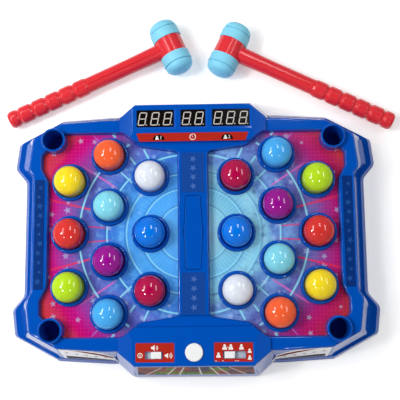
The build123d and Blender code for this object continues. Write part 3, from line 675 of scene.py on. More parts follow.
def drape(bm, touch, way, step):
    """Lays work drawn in x and z, with heights in the third place, on a wall met along a way."""
    reach = [vert.co.x for vert in bm.verts]
    x = min(reach) + step
    while x < max(reach):
        parts = bm.verts[:] + bm.edges[:] + bm.faces[:]
        bmesh.ops.bisect_plane(bm, geom=parts, dist=1e-5, plane_co=(x, 0, 0), plane_no=(1, 0, 0))
        x += step
    for vert in bm.verts:
        place, normal = touch(Vector((vert.co.x, 0, vert.co.y)) - Vector(way) * outside, way)
        vert.co = place + normal * vert.co.z


# Print of the play fields, in millimetres and degrees about a centre near the middle bar

field_centre_x = 7.0
field_reach = 175.0

# Inks from the centre outwards, each with its share of the reach
left_inks = (
    (0.0, "#70C8FF"),
    (0.15, "#5CB6FC"),
    (0.27, "#52AEF8"),
    (0.36, "#50A4F4"),
    (0.41, "#4284DC"),
    (0.46, "#407CD6"),
    (0.55, "#6A76CE"),
    (0.6, "#4C54AA"),
    (0.66, "#765BB0"),
    (0.72, "#9F3CA4"),
    (0.78, "#C00F82"),
    (0.83, "#C80A68"),
    (0.87, "#CC3456"),
    (0.94, "#D2382E"),
)
# Near the bar the right inks are painted much paler than the left ones: painted light that lifts the shadow
# the middle bar casts on the right field
right_inks_and_painted_light = (
    (0.0, "#C4F6F8"),
    (0.15, "#90D6EA"),
    (0.25, "#7CC8E8"),
    (0.31, "#92D6EC"),
    (0.37, "#92D4EC"),
    (0.42, "#668ED2"),
    (0.49, "#7CA6E6"),
    (0.56, "#5C6CB8"),
    (0.66, "#7064B2"),
    (0.72, "#963A92"),
    (0.78, "#AE1E76"),
    (0.84, "#B61A60"),
    (0.9, "#B82C48"),
    (0.95, "#C43A34"),
)

# Angle of each ray, radii of its ends, ink and width
field_rays = (
    (4.5, 75.0, 145.0, "#E0407C", 1.4),
    (14.5, 95.0, 145.0, "#E8305A", 1.9),
    (24.0, 105.0, 130.0, "#C05CC0", 1.2),
    (33.5, 82.0, 125.0, "#D66AC0", 1.8),
    (47.0, 114.0, 138.0, "#B86AD0", 1.4),
)

# Radius and width of each ring, and the angles that it runs between
field_rings = (
    (28.0, 1.1, -1.0, 92.0),
    (44.7, 1.2, -1.0, 92.0),
    (60.2, 1.3, -1.0, 92.0),
    (80.0, 1.5, -1.0, 6.0),
    (80.0, 1.8, 31.0, 45.0),
    (80.0, 1.8, 68.0, 84.0),
    (108.0, 1.8, -1.0, 36.0),
    (108.0, 2.2, 54.0, 58.0),
)

# Angle of each strut between the rings, radii of its ends, and width
field_struts = (
    (43.5, 75.0, 92.0, 1.7),
    (54.0, 87.0, 97.0, 2.0),
    (54.0, 122.0, 128.0, 2.4),
    (63.5, 83.0, 97.0, 1.9),
)

field_dot_pitch = 3.8
field_fan_period = 5.0
field_star_cell = 15.0
field_star_turn = 6.28

# How a star's straight edge runs between a ray and a waist at 0.45 of its radius
field_star_across = 0.2645
field_star_along = 0.636


class FieldPrint:
    """The print of the play fields: rings, rays, dots and stars about the centre."""

    def __init__(self, look):
        self.look = look
        self.material, self.wires, shader = new_material("field print")
        self.point = self.wires.point()
        self.x, self.y, z = self.wires.split(self.point)
        out = abs(self.x) - field_centre_x
        self.radius = self.wires.away(out, self.y)
        self.angle = self.wires.heading(out, abs(self.y)) * (180 / pi)
        self.colour = None
        self.ground()
        self.dots()
        self.fan()
        self.rays()
        self.rings()
        self.stars()
        dress(self.wires, shader, printed_film(), Colour=self.colour, Screen=0.05, Pitch=0.9)

    def lay(self, colour, mask):
        """Prints a colour over what is there."""
        self.colour = self.wires.mix(self.colour, colour, mask)

    def between(self, value, start, start_end, end_start, end):
        """All between two soft ends."""
        return self.wires.rise(value, start, start_end) * self.wires.fall(value, end_start, end)

    def ground(self):
        """The inks from the bar to the rim, with dark and pale clouds."""
        wires = self.wires
        cloud = wires.noise(self.point, size=16.0, detail=6.0, rough=0.6) - 0.5
        along = (self.radius + cloud * 14) / field_reach
        on_right = wires.rise(self.x, -1.0, 1.0)
        # The right ramp carries painted light near the bar, against the shadow of the bar
        self.colour = wires.mix(wires.ramp(along, left_inks), wires.ramp(along, right_inks_and_painted_light), on_right)
        mottle = wires.noise(self.point, size=7.0, detail=5.0, rough=0.7)
        belt = wires.band(self.radius, middle=88.0, width=66.0, soft=36.0)
        self.lay(self.look.dark, wires.rise(mottle, 0.5, 0.74) * belt * (on_right * 0.25 + 0.5))
        inner = wires.fall(self.radius, 96.0, 120.0)
        self.lay(self.look.pale, wires.rise(mottle, 0.5, 0.3) * inner * 0.4)
        self.colour = wires.shade(self.colour, 1 + cloud * 0.25)

    def dots(self):
        """Rows of faint dots near the rims."""
        wires = self.wires
        offs = [abs(wires.math("FRACT", way / field_dot_pitch) - 0.5) for way in (self.x, self.y)]
        dots = wires.fall(wires.away(*offs), 0.16, 0.34)
        self.lay(self.look.dot, dots * wires.rise(self.radius, 98.0, 124.0) * 0.24)

    def fan(self):
        """A fan of soft rays near the bar."""
        wires = self.wires
        wave = wires.math("SINE", self.angle * (2 * pi / field_fan_period))
        zone = self.between(self.radius, 6.0, 12.0, 40.0, 62.0)
        self.lay(self.look.fan, wires.rise(wave, 0.2, 0.95) * zone * 0.26)

    def spoke(self, angle, low, high):
        """A line out from the centre, soft between two half widths."""
        return self.wires.fall(abs(self.angle - angle) * self.radius * (pi / 180), low, high)

    def rays(self):
        """Single rays that fade out at both ends."""
        for angle, start, end, ink, width in field_rays:
            ray = self.spoke(angle, width / 2 - 0.2, width / 2 + 0.3)
            self.lay(ink, ray * self.between(self.radius, start, start + 8, end - 6, end + 6) * 0.8)

    def rings(self):
        """Ring lines with a darker line outside each, and struts between them."""
        wires = self.wires
        lines, shadows = [], []
        for radius, width, start, end in field_rings:
            reach = self.between(self.angle, start - 0.5, start + 0.5, end - 0.5, end + 0.5)
            lines.append(wires.band(self.radius, radius, width, soft=0.5) * reach)
            shadow = wires.band(self.radius, radius + 1.5 * width, 1.6 * width, soft=1.2)
            shadows.append(shadow * reach)
        for angle, start, end, width in field_struts:
            strut = self.spoke(angle, width / 2 - 0.25, width / 2 + 0.25)
            lines.append(strut * self.between(self.radius, start, start + 1, end - 1, end))
        self.lay(self.look.shadow, self.most(shadows) * 0.35)
        self.lay(self.look.line, self.most(lines) * 0.85)

    def most(self, masks):
        """Where any of the masks is."""
        total = masks[0]
        for mask in masks[1:]:
            total = self.wires.math("MAXIMUM", total, mask)
        return total

    def stars(self):
        """Scattered stars of unlike sizes, each in a cell of its own."""
        wires = self.wires
        across, along = field_star_across, field_star_along
        cells = wires.cells(self.point, field_star_cell, 0.7, voronoi_dimensions="2D")
        away = wires.add("VectorMath", operation="SUBTRACT")
        wires.join(away.inputs[0], wires.stretched(self.point, (1, 1, 0)))
        wires.join(away.inputs[1], cells["Position"])
        draws = wires.add("SeparateColor", {"Color": cells["Color"]}).outputs
        chance, size, turn = [Signal(wires, draw) for draw in draws]
        x, y, z = wires.split(away.outputs[0])
        angle = wires.math("PINGPONG", wires.heading(x, y) + turn * field_star_turn, pi / star_rays)
        edge = wires.math("COSINE", angle) * across + wires.math("SINE", angle) * along
        stars = wires.fall(wires.away(x, y) * edge - (2.0 + size * 2.2) * across, -0.12, 0.12)
        stars = stars * wires.rise(chance, 0.42, 0.44) * wires.rise(self.radius, 46.0, 56.0)
        self.lay(self.look.star, stars * 0.42)


# Finishes of the CAD nodes


def head_finish(name, colour, look, top):
    """A glossy head with a faint rosette of paler and darker petals round its top: painted shade of shallow
    dents, in place of a relief.
    """
    petal_count = 6
    material, wires, shader = new_material(name, {"Specular IOR Level": 0.75})
    point = wires.point(top)
    x, y, z = wires.split(point)
    radius = wires.away(x, y)
    drift = wires.noise(point, size=6.0, detail=1.0) * 3
    petal_shade = wires.math("COSINE", wires.heading(x, y) * petal_count + drift)
    zone = wires.rise(radius, 1.5, 5.0) * wires.fall(radius, 9.5, 13.0)
    dress(
        wires,
        shader,
        moulded_plastic(),
        # Painted shade of the dents: the rosette makes the colour lighter and darker
        Colour=wires.shade(colour, 1 + petal_shade * zone * look.petal_shade),
        Roughness=look.roughness,
        Mottle=0.04,
        Waves=0.02,
        Grain=0.001,
        Rubbing=0.06,
    )
    return material


def circuit_board():
    """Green solder mask with tracks, round pads and tinned patches."""
    material, wires, shader = new_material("circuit board")
    point = wires.point()
    tracks = wires.cells(point, size=5.0, randomness=0.6, feature="DISTANCE_TO_EDGE")
    track = wires.fall(Signal(wires, tracks[0]), 0.05, 0.09)
    pads = wires.cells(point, size=3.2, randomness=0.2)
    pad = wires.fall(Signal(wires, pads[0]), 0.16, 0.2)
    tinned = pad * wires.rise(wires.noise(point, size=12.0), 0.5, 0.55)
    looks = {
        "Base Color": wires.mix(wires.mix("#0E5A33", "#1E7A48", track), "#C8B98A", tinned),
        "Roughness": 0.3 + wires.noise(point, size=2.0) * 0.2,
        "Normal": wires.bump(track, depth=0.03),
    }
    wires.feed(shader.inputs, looks)
    return material


def cell_sleeve():
    """A dark cell sleeve with a copper-coloured band at one end."""
    material, wires, shader = new_material("cell sleeve")
    point = wires.point((0, -0.072, 0))
    x, y, z = wires.split(point)
    copper = wires.rise(y, 9.0, 9.4)
    tip = wires.rise(abs(y), 24.2, 24.4)
    looks = {
        "Base Color": wires.mix(wires.mix("#16171B", "#B4713C", copper), "#C4C6C8", tip),
        "Metallic": copper * 0.7,
        "Roughness": 0.25 + wires.noise(point, size=4.0) * 0.15,
        "Normal": wires.bump(wires.noise(point, size=1.5), depth=0.02),
    }
    wires.feed(shader.inputs, looks)
    return material


def speaker_finish():
    """A black paper cone with fine rings."""
    material, wires, shader = new_material("speaker")
    point = wires.point((0, 0.062, 0))
    x, y, z = wires.split(point)
    rings = wires.math("SINE", wires.away(x, y) * 4.2)
    looks = {
        "Base Color": wires.shade("#1A1A1C", 1 + rings * 0.2),
        "Roughness": 0.6 + wires.noise(point, size=1.0) * 0.2,
        "Normal": wires.bump(rings, depth=0.12),
    }
    wires.feed(shader.inputs, looks)
    return material


class FinishCase(bpy.types.Operator):
    """Gives the case, the battery door, the middle cover and the feet their finish"""

    bl_idname = "moles.case"
    bl_label = "Case"

    def execute(self, context):
        look = context.scene.mole_game.case
        gloss = plastic(
            "blue case", look.blue, look.roughness, Mottle=0.03, Waves=0.03, Grain=0.0, Rubbing=0.03
        )
        paint(gloss, "top_shell", "centre_cover")
        under = plastic(
            "blue lower case", look.under_blue, 0.32, Mottle=0.04, Waves=0.03, Grain=0.012, Rubbing=0.12
        )
        paint(under, "bottom_cover", "battery_door")
        rubber = plastic(
            "foot rubber", look.rubber, 0.75, Mottle=0.12, Waves=0.02, Grain=0.03, Rubbing=0.1
        )
        paint(rubber, "rubber_feet")
        return {"FINISHED"}


class PrintFields(bpy.types.Operator):
    """Prints the two play fields"""

    bl_idname = "moles.fields"
    bl_label = "Play fields"

    def execute(self, context):
        sheet = FieldPrint(context.scene.mole_game.fields)
        paint(sheet.material, "left_field_sheet", "right_field_sheet")
        return {"FINISHED"}


# Colours of the left and the right head at each place
head_colours = {
    "middle_back": ("orange", "sky"),
    "outer_back": ("yellow", "lime"),
    "inner_back": ("white", "crimson"),
    "middle_upper": ("cyan", "purple"),
    "outer_centre": ("red", "red"),
    "inner_centre": ("blue", "blue"),
    "middle_lower": ("purple", "cyan"),
    "outer_front": ("lime", "yellow"),
    "inner_front": ("crimson", "white"),
    "middle_front": ("sky", "orange"),
}


class FinishHeads(bpy.types.Operator):
    """Gives each mole head its colour, gloss and pale rosette"""

    bl_idname = "moles.heads"
    bl_label = "Mole heads"

    def execute(self, context):
        look = context.scene.mole_game.heads
        for place, colours in head_colours.items():
            for side, colour in zip(("left", "right"), colours):
                node = f"mole_{side}_{place}"
                name = f"{colour} head {side} {place}"
                paint(head_finish(name, getattr(look, colour), look, top_of(node)), node)
        return {"FINISHED"}


class FinishInside(bpy.types.Operator):
    """Finishes the boards, lamps, pads, cells, contacts, speaker and switches inside"""

    bl_idname = "moles.inside"
    bl_label = "Inner parts"

    def execute(self, context):
        boards = ("left_mole_board", "right_mole_board", "display_board", "control_board")
        paint(circuit_board(), *boards)
        silicone = {"Subsurface Weight": 0.2}
        pads = plastic(
            "silicone", "#D8D6CC", 0.45, silicone, Mottle=0.06, Waves=0.03, Grain=0.004, Rubbing=0.1
        )
        paint(pads, "left_return_pads", "right_return_pads")
        clear = {"Transmission Weight": 0.6}
        lamps = plastic(
            "lamp epoxy", "#E8ECEC", 0.08, clear, Mottle=0.03, Waves=0.02, Grain=0.0, Rubbing=0.0
        )
        paint(lamps, "mole_lamps")
        paint(cell_sleeve(), "battery_cells")
        spring = metal("contact spring steel", "#C9CACC", roughness=0.25, tarnish=0.3)
        paint(spring, "battery_contacts", "case_screws")
        paint(speaker_finish(), "speaker")
        paint(metal("switch steel", "#B9BCC0", roughness=0.35, tarnish=0.5), "start_switch")
        # The switch bodies are a light grey plastic: a painted reflection in place of the bright mirror
        # image on their metal
        body = plastic(
            "switch body", "#B4BECB", 0.4, Mottle=0.08, Waves=0.03, Grain=0.004, Rubbing=0.1
        )
        paint(body, "power_switch", "mode_switch")
        return {"FINISHED"}


# Console labels, in millimetres about the middle of each label

strip_place = (0, 96, above)
strip_outline = ((-53.2, -4.2), (53.2, -4.2), (56.4, 4.2), (-56.4, 4.2))
strip_numbers = (("1", -33.8), ("2", 34.9))
arch_half_width = 6.0
arch_height = 5.4
arch_foot = -2.8
arch_steps = 20
arch_person_size = 4.2
arch_numeral_size = 4.8
arch_sign_y = -0.6

clock_x = 0.4
clock_hand = ((-1.2, 2.2), (-0.7, 1.9), (0.8, -0.2), (0.3, -0.4))

seat_x = 38.0
seat_probe_y = -110.0
seat_y = -116.6
seat_half_width = 18.7
seat_half_depth = 9.1
seat_corner = 1.1
slot_y = -2.6
slot_depth = 7.2

# Middle and width of the slot in the sound label and in the mode label
sound_slot = (-0.9, 17.4)
mode_slot = (0.8, 22.2)

power_sign_x = -14.3

# Place, size and number of waves of each loudspeaker
loudspeakers = ((-0.4, 4.5, 5.8, 2), (12.6, -2.9, 5.3, 3))

# Place and size of each playing piece on the mode label
mode_people = (
    (-14.6, -2.9, 5.2),
    (-8.6, 4.7, 5.4),
    (-2.6, 4.7, 5.4),
    (7.6, 4.7, 5.4),
    (15.4, 1.0, 4.4),
    (15.4, -5.4, 4.4),
)
mode_dashes = (-17.0, -10.4, 1.8, 4.2)


def person(bm, x, y, size, low, high, paint_number):
    """A plain playing piece with a round head."""
    disc(bm, x, y + size * 0.26, size * 0.24, low, high, paint_number, segments=20)
    body = [(-0.46, -0.45), (0.46, -0.45), (0.3, 0.06), (-0.3, 0.06)]
    plate(bm, [(x + size * a, y + size * b) for a, b in body], low, high, paint_number, size * 0.08)


def loudspeaker(bm, x, y, size, waves, low, high, paint_number):
    """A loudspeaker sign with sound waves."""
    horn = [(-0.55, -0.2), (-0.3, -0.2), (0.05, -0.5), (0.05, 0.5), (-0.3, 0.2), (-0.55, 0.2)]
    plate(bm, [(x + size * a, y + size * b) for a, b in horn], low, high, paint_number)
    mouth = x + size * 0.1
    for k in range(waves):
        inner = size * (0.22 + 0.2 * k)
        outer = inner + size * 0.1
        ring(bm, mouth, y, inner, outer, low, high, paint_number, start=-50, sweep=100, steps=12)


class AddConsoleLabels(bpy.types.Operator):
    """Lays the red strip and the two red control labels in their seats"""

    bl_idname = "moles.console_labels"
    bl_label = "Console labels"

    def execute(self, context):
        look = context.scene.mole_game.prints
        red = film("red label film", look.red, screen=0.16, pitch=0.8)
        light = film("light ink", look.light, screen=0.02)
        black = film("black ink", "#120E10", screen=0.1)
        top = look.film / millimetre
        ink = look.ink / millimetre
        self.strip([red, light, black], top, ink)
        self.sound_label([red, light], top, top + ink)
        self.mode_label([red, light], top, top + ink)
        return {"FINISHED"}

    def strip(self, materials, top, ink):
        """The strip below the displays, with an arch for each player and a clock between them."""
        high, higher = top + ink, top + 2 * ink
        bm = bmesh.new()
        plate(bm, strip_outline, 0, top, corner=0.4)
        turns = [pi * k / arch_steps for k in range(arch_steps + 1)]
        for number, x in strip_numbers:
            arch = [(x + arch_half_width * cos(a), arch_height * sin(a) + arch_foot) for a in turns]
            plate(bm, arch, top, high, 2)
            person(bm, x - 1.7, arch_sign_y, arch_person_size, high, higher, 1)
            numeral(bm, number, x + 2.1, arch_sign_y, arch_numeral_size, high, higher, 1)
        ring(bm, clock_x, 0, 2.5, 3.2, top, high, 1, start=110, sweep=320, steps=30)
        plate(bm, clock_hand, top, high, 1)
        box_plate(bm, clock_x, 2.9, 0.6, 1.2, top, high, 1)
        settle(bm, "red_strip_label", materials, case, flat_on(strip_place))

    def seat(self, side):
        """The place of a control label, level with the floor of its seat."""
        spot = case_probe()((side * seat_x, seat_probe_y, above), down)[0]
        return Matrix.Translation((side * seat_x, seat_y, spot.z))

    def windowed_plate(self, bm, slot, top):
        """A label plate with the slot cut out of it, made of four strips."""
        middle, width = slot
        outline = rectangle(0, 0, 2 * seat_half_width, 2 * seat_half_depth)
        window = rectangle(middle, slot_y, width, slot_depth)
        outer, inner = [[bm.verts.new((x, y, 0)) for x, y in points] for points in (outline, window)]
        for k in range(4):
            bm.faces.new([outer[k], outer[k - 3], inner[k - 3], inner[k]])
        round_corners(bm, outer, seat_corner)
        up_by(bm, bm.faces[:], top)

    def sound_label(self, materials, low, high):
        """The label of the power and volume slider."""
        bm = bmesh.new()
        self.windowed_plate(bm, sound_slot, low)
        ring(bm, power_sign_x, slot_y, 1.75, 2.45, low, high, 1)
        box_plate(bm, power_sign_x, slot_y, 0.7, 2.6, low, high, 1)
        for x, y, size, waves in loudspeakers:
            loudspeaker(bm, x, y, size, waves, low, high, 1)
        settle(bm, "sound_label", materials, case, self.seat(-1))

    def mode_label(self, materials, low, high):
        """The label of the slider for the kind of game."""
        bm = bmesh.new()
        self.windowed_plate(bm, mode_slot, low)
        for x, y, size in mode_people:
            person(bm, x, y, size, low, high, 1)
        box_plate(bm, -5.6, 4.7, 1.4, 0.6, low, high, 1)
        for x in mode_dashes:
            box_plate(bm, x, -8.3, 1.6, 0.5, low, high, 1)
        settle(bm, "mode_label", materials, case, self.seat(1))


# Star labels: place, width and length, and the pitch of the stars

bar_label_y = 60.0
bar_label_size = (23.0, 40.6)
bar_star_count = 4
bar_star_pitch = 9.2
rim_label_x = 153.8
rim_label_size = (9.6, 110.0)
rim_star_count = 11
rim_star_pitch = 9.4
star_radius = 3.7


class AddStarLabels(bpy.types.Operator):
    """Lays the star labels on the middle bar and on the side rims"""

    bl_idname = "moles.star_labels"
    bl_label = "Star labels"

    def execute(self, context):
        look = context.scene.mole_game.prints
        slate = film("slate label film", look.slate, screen=0.1, pitch=1.2)
        bar_star = film("bar star ink", look.bar_star, screen=0.1)
        navy = film("navy label film", look.navy, screen=0.16, pitch=1.2)
        rim_star = film("rim star ink", look.rim_star, screen=0.1)
        self.top = look.film / millimetre
        self.high = self.top + look.ink / millimetre
        for name, side in (("back", 1), ("front", -1)):
            bm = self.ground(bar_label_size)
            for k in range(bar_star_count):
                y = (k - (bar_star_count - 1) / 2) * bar_star_pitch
                self.star(bm, 0.3, y, star_radius, waist=0.42, turn=90 + 11 * k)
            place = flat_on((0, side * bar_label_y, above))
            settle(bm, f"bar_label_{name}", [slate, bar_star], case, place)
        for name, side in sides:
            bm = self.ground(rim_label_size)
            for k in range(rim_star_count):
                x = 0.9 * (k * 5 % 3 - 1)
                y = (k - (rim_star_count - 1) / 2) * rim_star_pitch
                self.star(bm, x, y, star_radius - 1.4 * (k * 7 % 4) / 3, waist=0.4, turn=90 + 23 * k)
            place = flat_on((side * rim_label_x, 0, above))
            settle(bm, f"rim_label_{name}", [navy, rim_star], case, place)
        return {"FINISHED"}

    def ground(self, size):
        """A bare label."""
        bm = bmesh.new()
        box_plate(bm, 0, 0, *size, 0, self.top, corner=0.6)
        return bm

    def star(self, bm, x, y, radius, waist, turn):
        """A star on a label."""
        star(bm, x, y, radius, self.top, self.high, 1, waist, turn)


# Corner wall labels: how far each print's points are from the label's outer end, in
# millimetres, and their share of the way down the wall. Each print has its lower edge,
# its upper edge and its material number; the first is the film, and the others are ink on it.

wall_end_x = 133.5
wall_top_z = 45.2
wall_foot_z = 8.2
wall_prints = (
    (
        ((0, 0.99), (56, 0.99)),
        ((56, 0.9), (52.5, 0.5), (46.5, 0.28), (40, 0.12), (34, 0.04), (28, 0.01), (0, 0.01)),
        0,
    ),
    (((3, 0.9), (50, 0.93)), ((48, 0.86), (30, 0.76), (15, 0.69), (3, 0.66)), 3),
    (((3, 0.98), (52, 0.98)), ((50, 0.93), (3, 0.9)), 4),
    (
        ((13, 0.04), (27, 0.24), (35, 0.36), (44, 0.52), (52.5, 0.74)),
        ((51, 0.56), (44, 0.34), (35, 0.18), (27, 0.1), (18, 0.05)),
        2,
    ),
)
wall_star_count = 5
wall_star_radius = 2.3
wall_star_start = (6.3, 0.33)
wall_star_step = (9.4, 0.075)
wall_step = 4.0

# Front picture, in millimetres about its middle

picture_place = (1.0, -200.0, 32.7)
picture_outline = ((-58.5, -16.5), (58.5, -16.5), (56.0, 16.5), (-56.0, 16.5))
picture_half_height = 16.0

# Left, right, foot and top of each hedge; its top is a little nearer the middle
hedges = (
    (-44.0, -12.0, -13.0, -3.0),
    (-14.0, 20.0, -15.0, -6.0),
    (14.0, 34.0, 2.0, 12.0),
    (-30.0, -22.0, 4.0, 13.0),
)
hedge_lean = 0.9
hedge_inks = ((0.3, "#4A6A3C"), (0.5, "#7CA058"), (0.66, "#C0CC94"), (0.75, "#747F64"))

# Foot of each lane, and how it narrows and leans towards its top
lanes = (-50.0, -29.0, -17.0, 5.0, 22.0, 33.0, 50.0)
lane_lean = 0.35
lane_near_half_width = 1.0
lane_far_half_width = 0.7


class AddWallLabels(bpy.types.Operator):
    """Lays the printed films on the corner walls and on the front console's wall"""

    bl_idname = "moles.wall_labels"
    bl_label = "Wall labels"

    def execute(self, context):
        look = context.scene.mole_game.prints
        top = look.film / millimetre
        high = top + look.ink / millimetre
        materials = [film("white label film", look.paper, screen=0.05)]
        for name, colour, screen in (
            ("grey star ink", look.wall_star, 0.1),
            ("brown red ink", look.stripe, 0.2),
            ("slate band ink", look.wall_grey, 0.1),
            ("sand ink", look.sand, 0.1),
        ):
            materials.append(film(name, colour, screen, shine=0.0))
        touch = case_probe()
        for end, side_y in (("back", 1), ("front", -1)):
            for side, side_x in sides:
                bm = bmesh.new()
                for lower, upper, number in wall_prints:
                    points = [self.spot(side_x, along, share) for along, share in lower + upper]
                    low, print_top = (top, high) if number else (0, top)
                    plate(bm, points, low, print_top, number)
                for k in range(wall_star_count):
                    along, share = [a + b * k for a, b in zip(wall_star_start, wall_star_step)]
                    x, z = self.spot(side_x, along, share)
                    star(bm, x, z, wall_star_radius, top, high, 1, waist=0.45, turn=90 + 9 * k)
                drape(bm, touch, (0, -side_y, 0), wall_step)
                settle(bm, f"wall_label_{end}_{side}", materials, case)
        self.picture(top, look.ink / millimetre)
        return {"FINISHED"}

    def spot(self, side_x, along, share):
        """A place on a corner wall, from the distance to the label's outer end and the share down."""
        return side_x * (wall_end_x - along), wall_top_z - share * (wall_top_z - wall_foot_z)

    def picture(self, top, ink):
        """A plain picture of brick walls, hedges and pale lanes."""
        lane = film("pale lane ink", "#F0EAE6", screen=0.1, shine=0.0)
        bm = bmesh.new()
        plate(bm, picture_outline, 0, top, corner=0.8)
        for left, right, foot, head in hedges:
            points = [(left, foot), (right, foot), (right * hedge_lean, head), (left * hedge_lean, head)]
            plate(bm, points, top, top + ink, 1, corner=1.5)
        for foot in lanes:
            head = foot * (1 - lane_lean)
            near, far = lane_near_half_width, lane_far_half_width
            points = [(foot - near, -picture_half_height), (foot + near, -picture_half_height)]
            points += [(head + far, picture_half_height), (head - far, picture_half_height)]
            plate(bm, points, top + ink, top + 2 * ink, 2)
        materials = [self.brickwork(), self.hedge(), lane]
        place = flat_on(picture_place, (0, 1, 0))
        settle(bm, "front_picture_label", materials, case, place)

    def hedge(self):
        """Leaf green with pale and dull leaves."""
        material, wires, shader = new_material("hedge ink", {"Specular IOR Level": 0.0})
        leaves = wires.noise(wires.point(), size=2.2, detail=5.0, rough=0.7)
        colour = wires.ramp(leaves, hedge_inks)
        dress(wires, shader, printed_film(), Colour=colour, Screen=0.1, Pitch=0.8)
        return material

    def brickwork(self):
        """Brick rows with grey clouds of cobble between them."""
        material, wires, shader = new_material("brick print", {"Specular IOR Level": 0.0})
        point = wires.point()
        x, y, z = wires.split(point)
        rows = {
            "Vector": wires.add("CombineXYZ", {"X": x, "Y": z}).outputs[0],
            "Color1": "#A8584E",
            "Color2": "#BC8074",
            "Mortar": "#948A8E",
            "Scale": 1.0,
            "Mortar Size": 0.35,
            "Brick Width": 7.0,
            "Row Height": 3.0,
        }
        bricks = wires.add("TexBrick", rows).outputs[0]
        cloud = wires.rise(wires.noise(point, size=14.0, detail=3.0), 0.5, 0.6)
        colour = wires.mix(bricks, "#747684", cloud)
        dress(wires, shader, printed_film(), Colour=colour, Screen=0.12, Pitch=0.8)
        return material


# Digits, in millimetres; each stands on the face of its module

digit_counts = {"player_1_display": 3, "timer_display": 2, "player_2_display": 3}
digit_pitch = 12.7
digit_shift = (-0.2, -0.3)
digit_thickness = 0.05
segment_gap = 0.12
digit_point_radius = 0.55
digit_point_out = 1.3
digit_point_up = 0.6


class AddDigits(bpy.types.Operator):
    """Sets the seven-segment digits into the display modules"""

    bl_idname = "moles.digits"
    bl_label = "Digits"

    def execute(self, context):
        look = context.scene.mole_game.displays
        face = plastic(
            "display face", look.face, 0.12, Mottle=0.1, Waves=0.02, Grain=0.0, Rubbing=0.05
        )
        segment = plastic(
            "segment epoxy", look.segment, 0.35, Mottle=0.06, Waves=0.02, Grain=0.004, Rubbing=0.05
        )
        sizes = [size / millimetre for size in (look.height, look.width, look.line)]
        lean = Matrix.Identity(4)
        lean[0][1] = tan(look.slant)
        for node, count in digit_counts.items():
            paint(face, node)
            bm = bmesh.new()
            for k in range(count):
                x = (k - (count - 1) / 2) * digit_pitch + digit_shift[0]
                digit = bmesh.new()
                self.digit(digit, *sizes)
                digit.transform(Matrix.Translation((x, digit_shift[1], 0)) @ lean)
                mesh = bpy.data.meshes.new("digit")
                digit.to_mesh(mesh)
                digit.free()
                bm.from_mesh(mesh)
                bpy.data.meshes.remove(mesh)
            settle(bm, f"{node}_digits", [segment], case, on_top(node))
        return {"FINISHED"}

    def digit(self, bm, height, width, line):
        """One digit with its seven segments and its point."""
        out = (width - line) / 2
        up = (height - line) / 4
        half = line / 2
        for level in (-2, 0, 2):
            self.segment(bm, 0, level * up, out - segment_gap, half, upright=False)
        for side in (-1, 1):
            for level in (-1, 1):
                self.segment(bm, side * out, level * up, up - segment_gap, half, upright=True)
        x = width / 2 + digit_point_out
        y = digit_point_up - height / 2
        disc(bm, x, y, digit_point_radius, 0, digit_thickness, 0, segments=16)

    def segment(self, bm, x, y, reach, half, upright):
        """A pointed bar."""
        points = [(-reach, 0), (half - reach, -half), (reach - half, -half)]
        points += [(reach, 0), (reach - half, half), (half - reach, half)]
        if upright:
            points = [(b, a) for a, b in points]
        plate(bm, [(x + a, y + b) for a, b in points], 0, digit_thickness)


# Grip ridges of the sliders' knobs, in millimetres

ridge_count = 5
ridge_pitch = 1.5
ridge_size = (0.6, 4.6)
ridge_foot = -0.05
ridge_top = 0.25
ridge_corner = 0.25


class FinishControls(bpy.types.Operator):
    """Finishes the white start button and the two sliders, and adds the sliders' grip ridges"""

    bl_idname = "moles.controls"
    bl_label = "Controls"

    def execute(self, context):
        white = plastic(
            "white plastic", "#F6F8F8", 0.22, Mottle=0.02, Waves=0.04, Grain=0.002, Rubbing=0.08
        )
        paint(white, "start_button", "power_knob", "mode_knob")
        for knob in ("power_knob", "mode_knob"):
            bm = bmesh.new()
            for k in range(ridge_count):
                x = (k - (ridge_count - 1) / 2) * ridge_pitch
                box_plate(bm, x, 0, *ridge_size, ridge_foot, ridge_top, corner=ridge_corner)
            settle(bm, f"{knob}_ridges", [white], knob, on_top(knob))
        return {"FINISHED"}


class FinishMallets(bpy.types.Operator):
    """Finishes the red handles and the soft blue caps"""

    bl_idname = "moles.mallets"
    bl_label = "Mallets"

    def execute(self, context):
        look = context.scene.mole_game.mallets
        red = plastic(
            "red handle", look.red, look.roughness, Mottle=0.04, Waves=0.008, Grain=0.002, Rubbing=0.1
        )
        soft = plastic(
            "soft blue cap", look.blue, 0.5, Mottle=0.04, Waves=0.02, Grain=0.012, Rubbing=0.1
        )
        for side in ("left", "right"):
            paint(red, f"{side}_mallet_handle")
            paint(soft, f"{side}_mallet_front_cap", f"{side}_mallet_back_cap")
        return {"FINISHED"}


# Stage, in metres

floor_half_width = 6.0

# Share of the way up the sky, and its grey there
sky_levels = ((0.0, "#7C7C7C"), (0.3, "#808080"), (0.7, "#787878"), (0.9, "#5C5C5C"), (0.96, "#1C1C1C"))

# Name, turn across and back in degrees, width and length, and brightness of each lamp
lamp_places = (
    ("lamp_middle", 9.0, 30.0, 0.14, 0.6, 8.5),
    ("lamp_left", -33.0, 14.0, 0.15, 0.75, 10.0),
    ("lamp_right", 38.0, 14.0, 0.15, 0.75, 6.0),
    ("lamp_key", -40.0, -1.0, 0.16, 0.16, 48.0),
    ("lamp_key_low", -29.0, -21.0, 0.12, 0.12, 42.0),
    ("lamp_low", 15.0, -22.0, 0.09, 0.09, 40.0),
)
lamp_distance = 1.5

# The same for the soft lamps, which give light but no mirror image and hang nearer
soft_places = (
    ("soft_left", -38.0, 6.0, 0.6, 0.6, 3.3),
    ("soft_right", 36.0, 6.0, 0.6, 0.6, 0.5),
)
soft_distance = 1.0
lamp_target = (0, 0, 0.05)

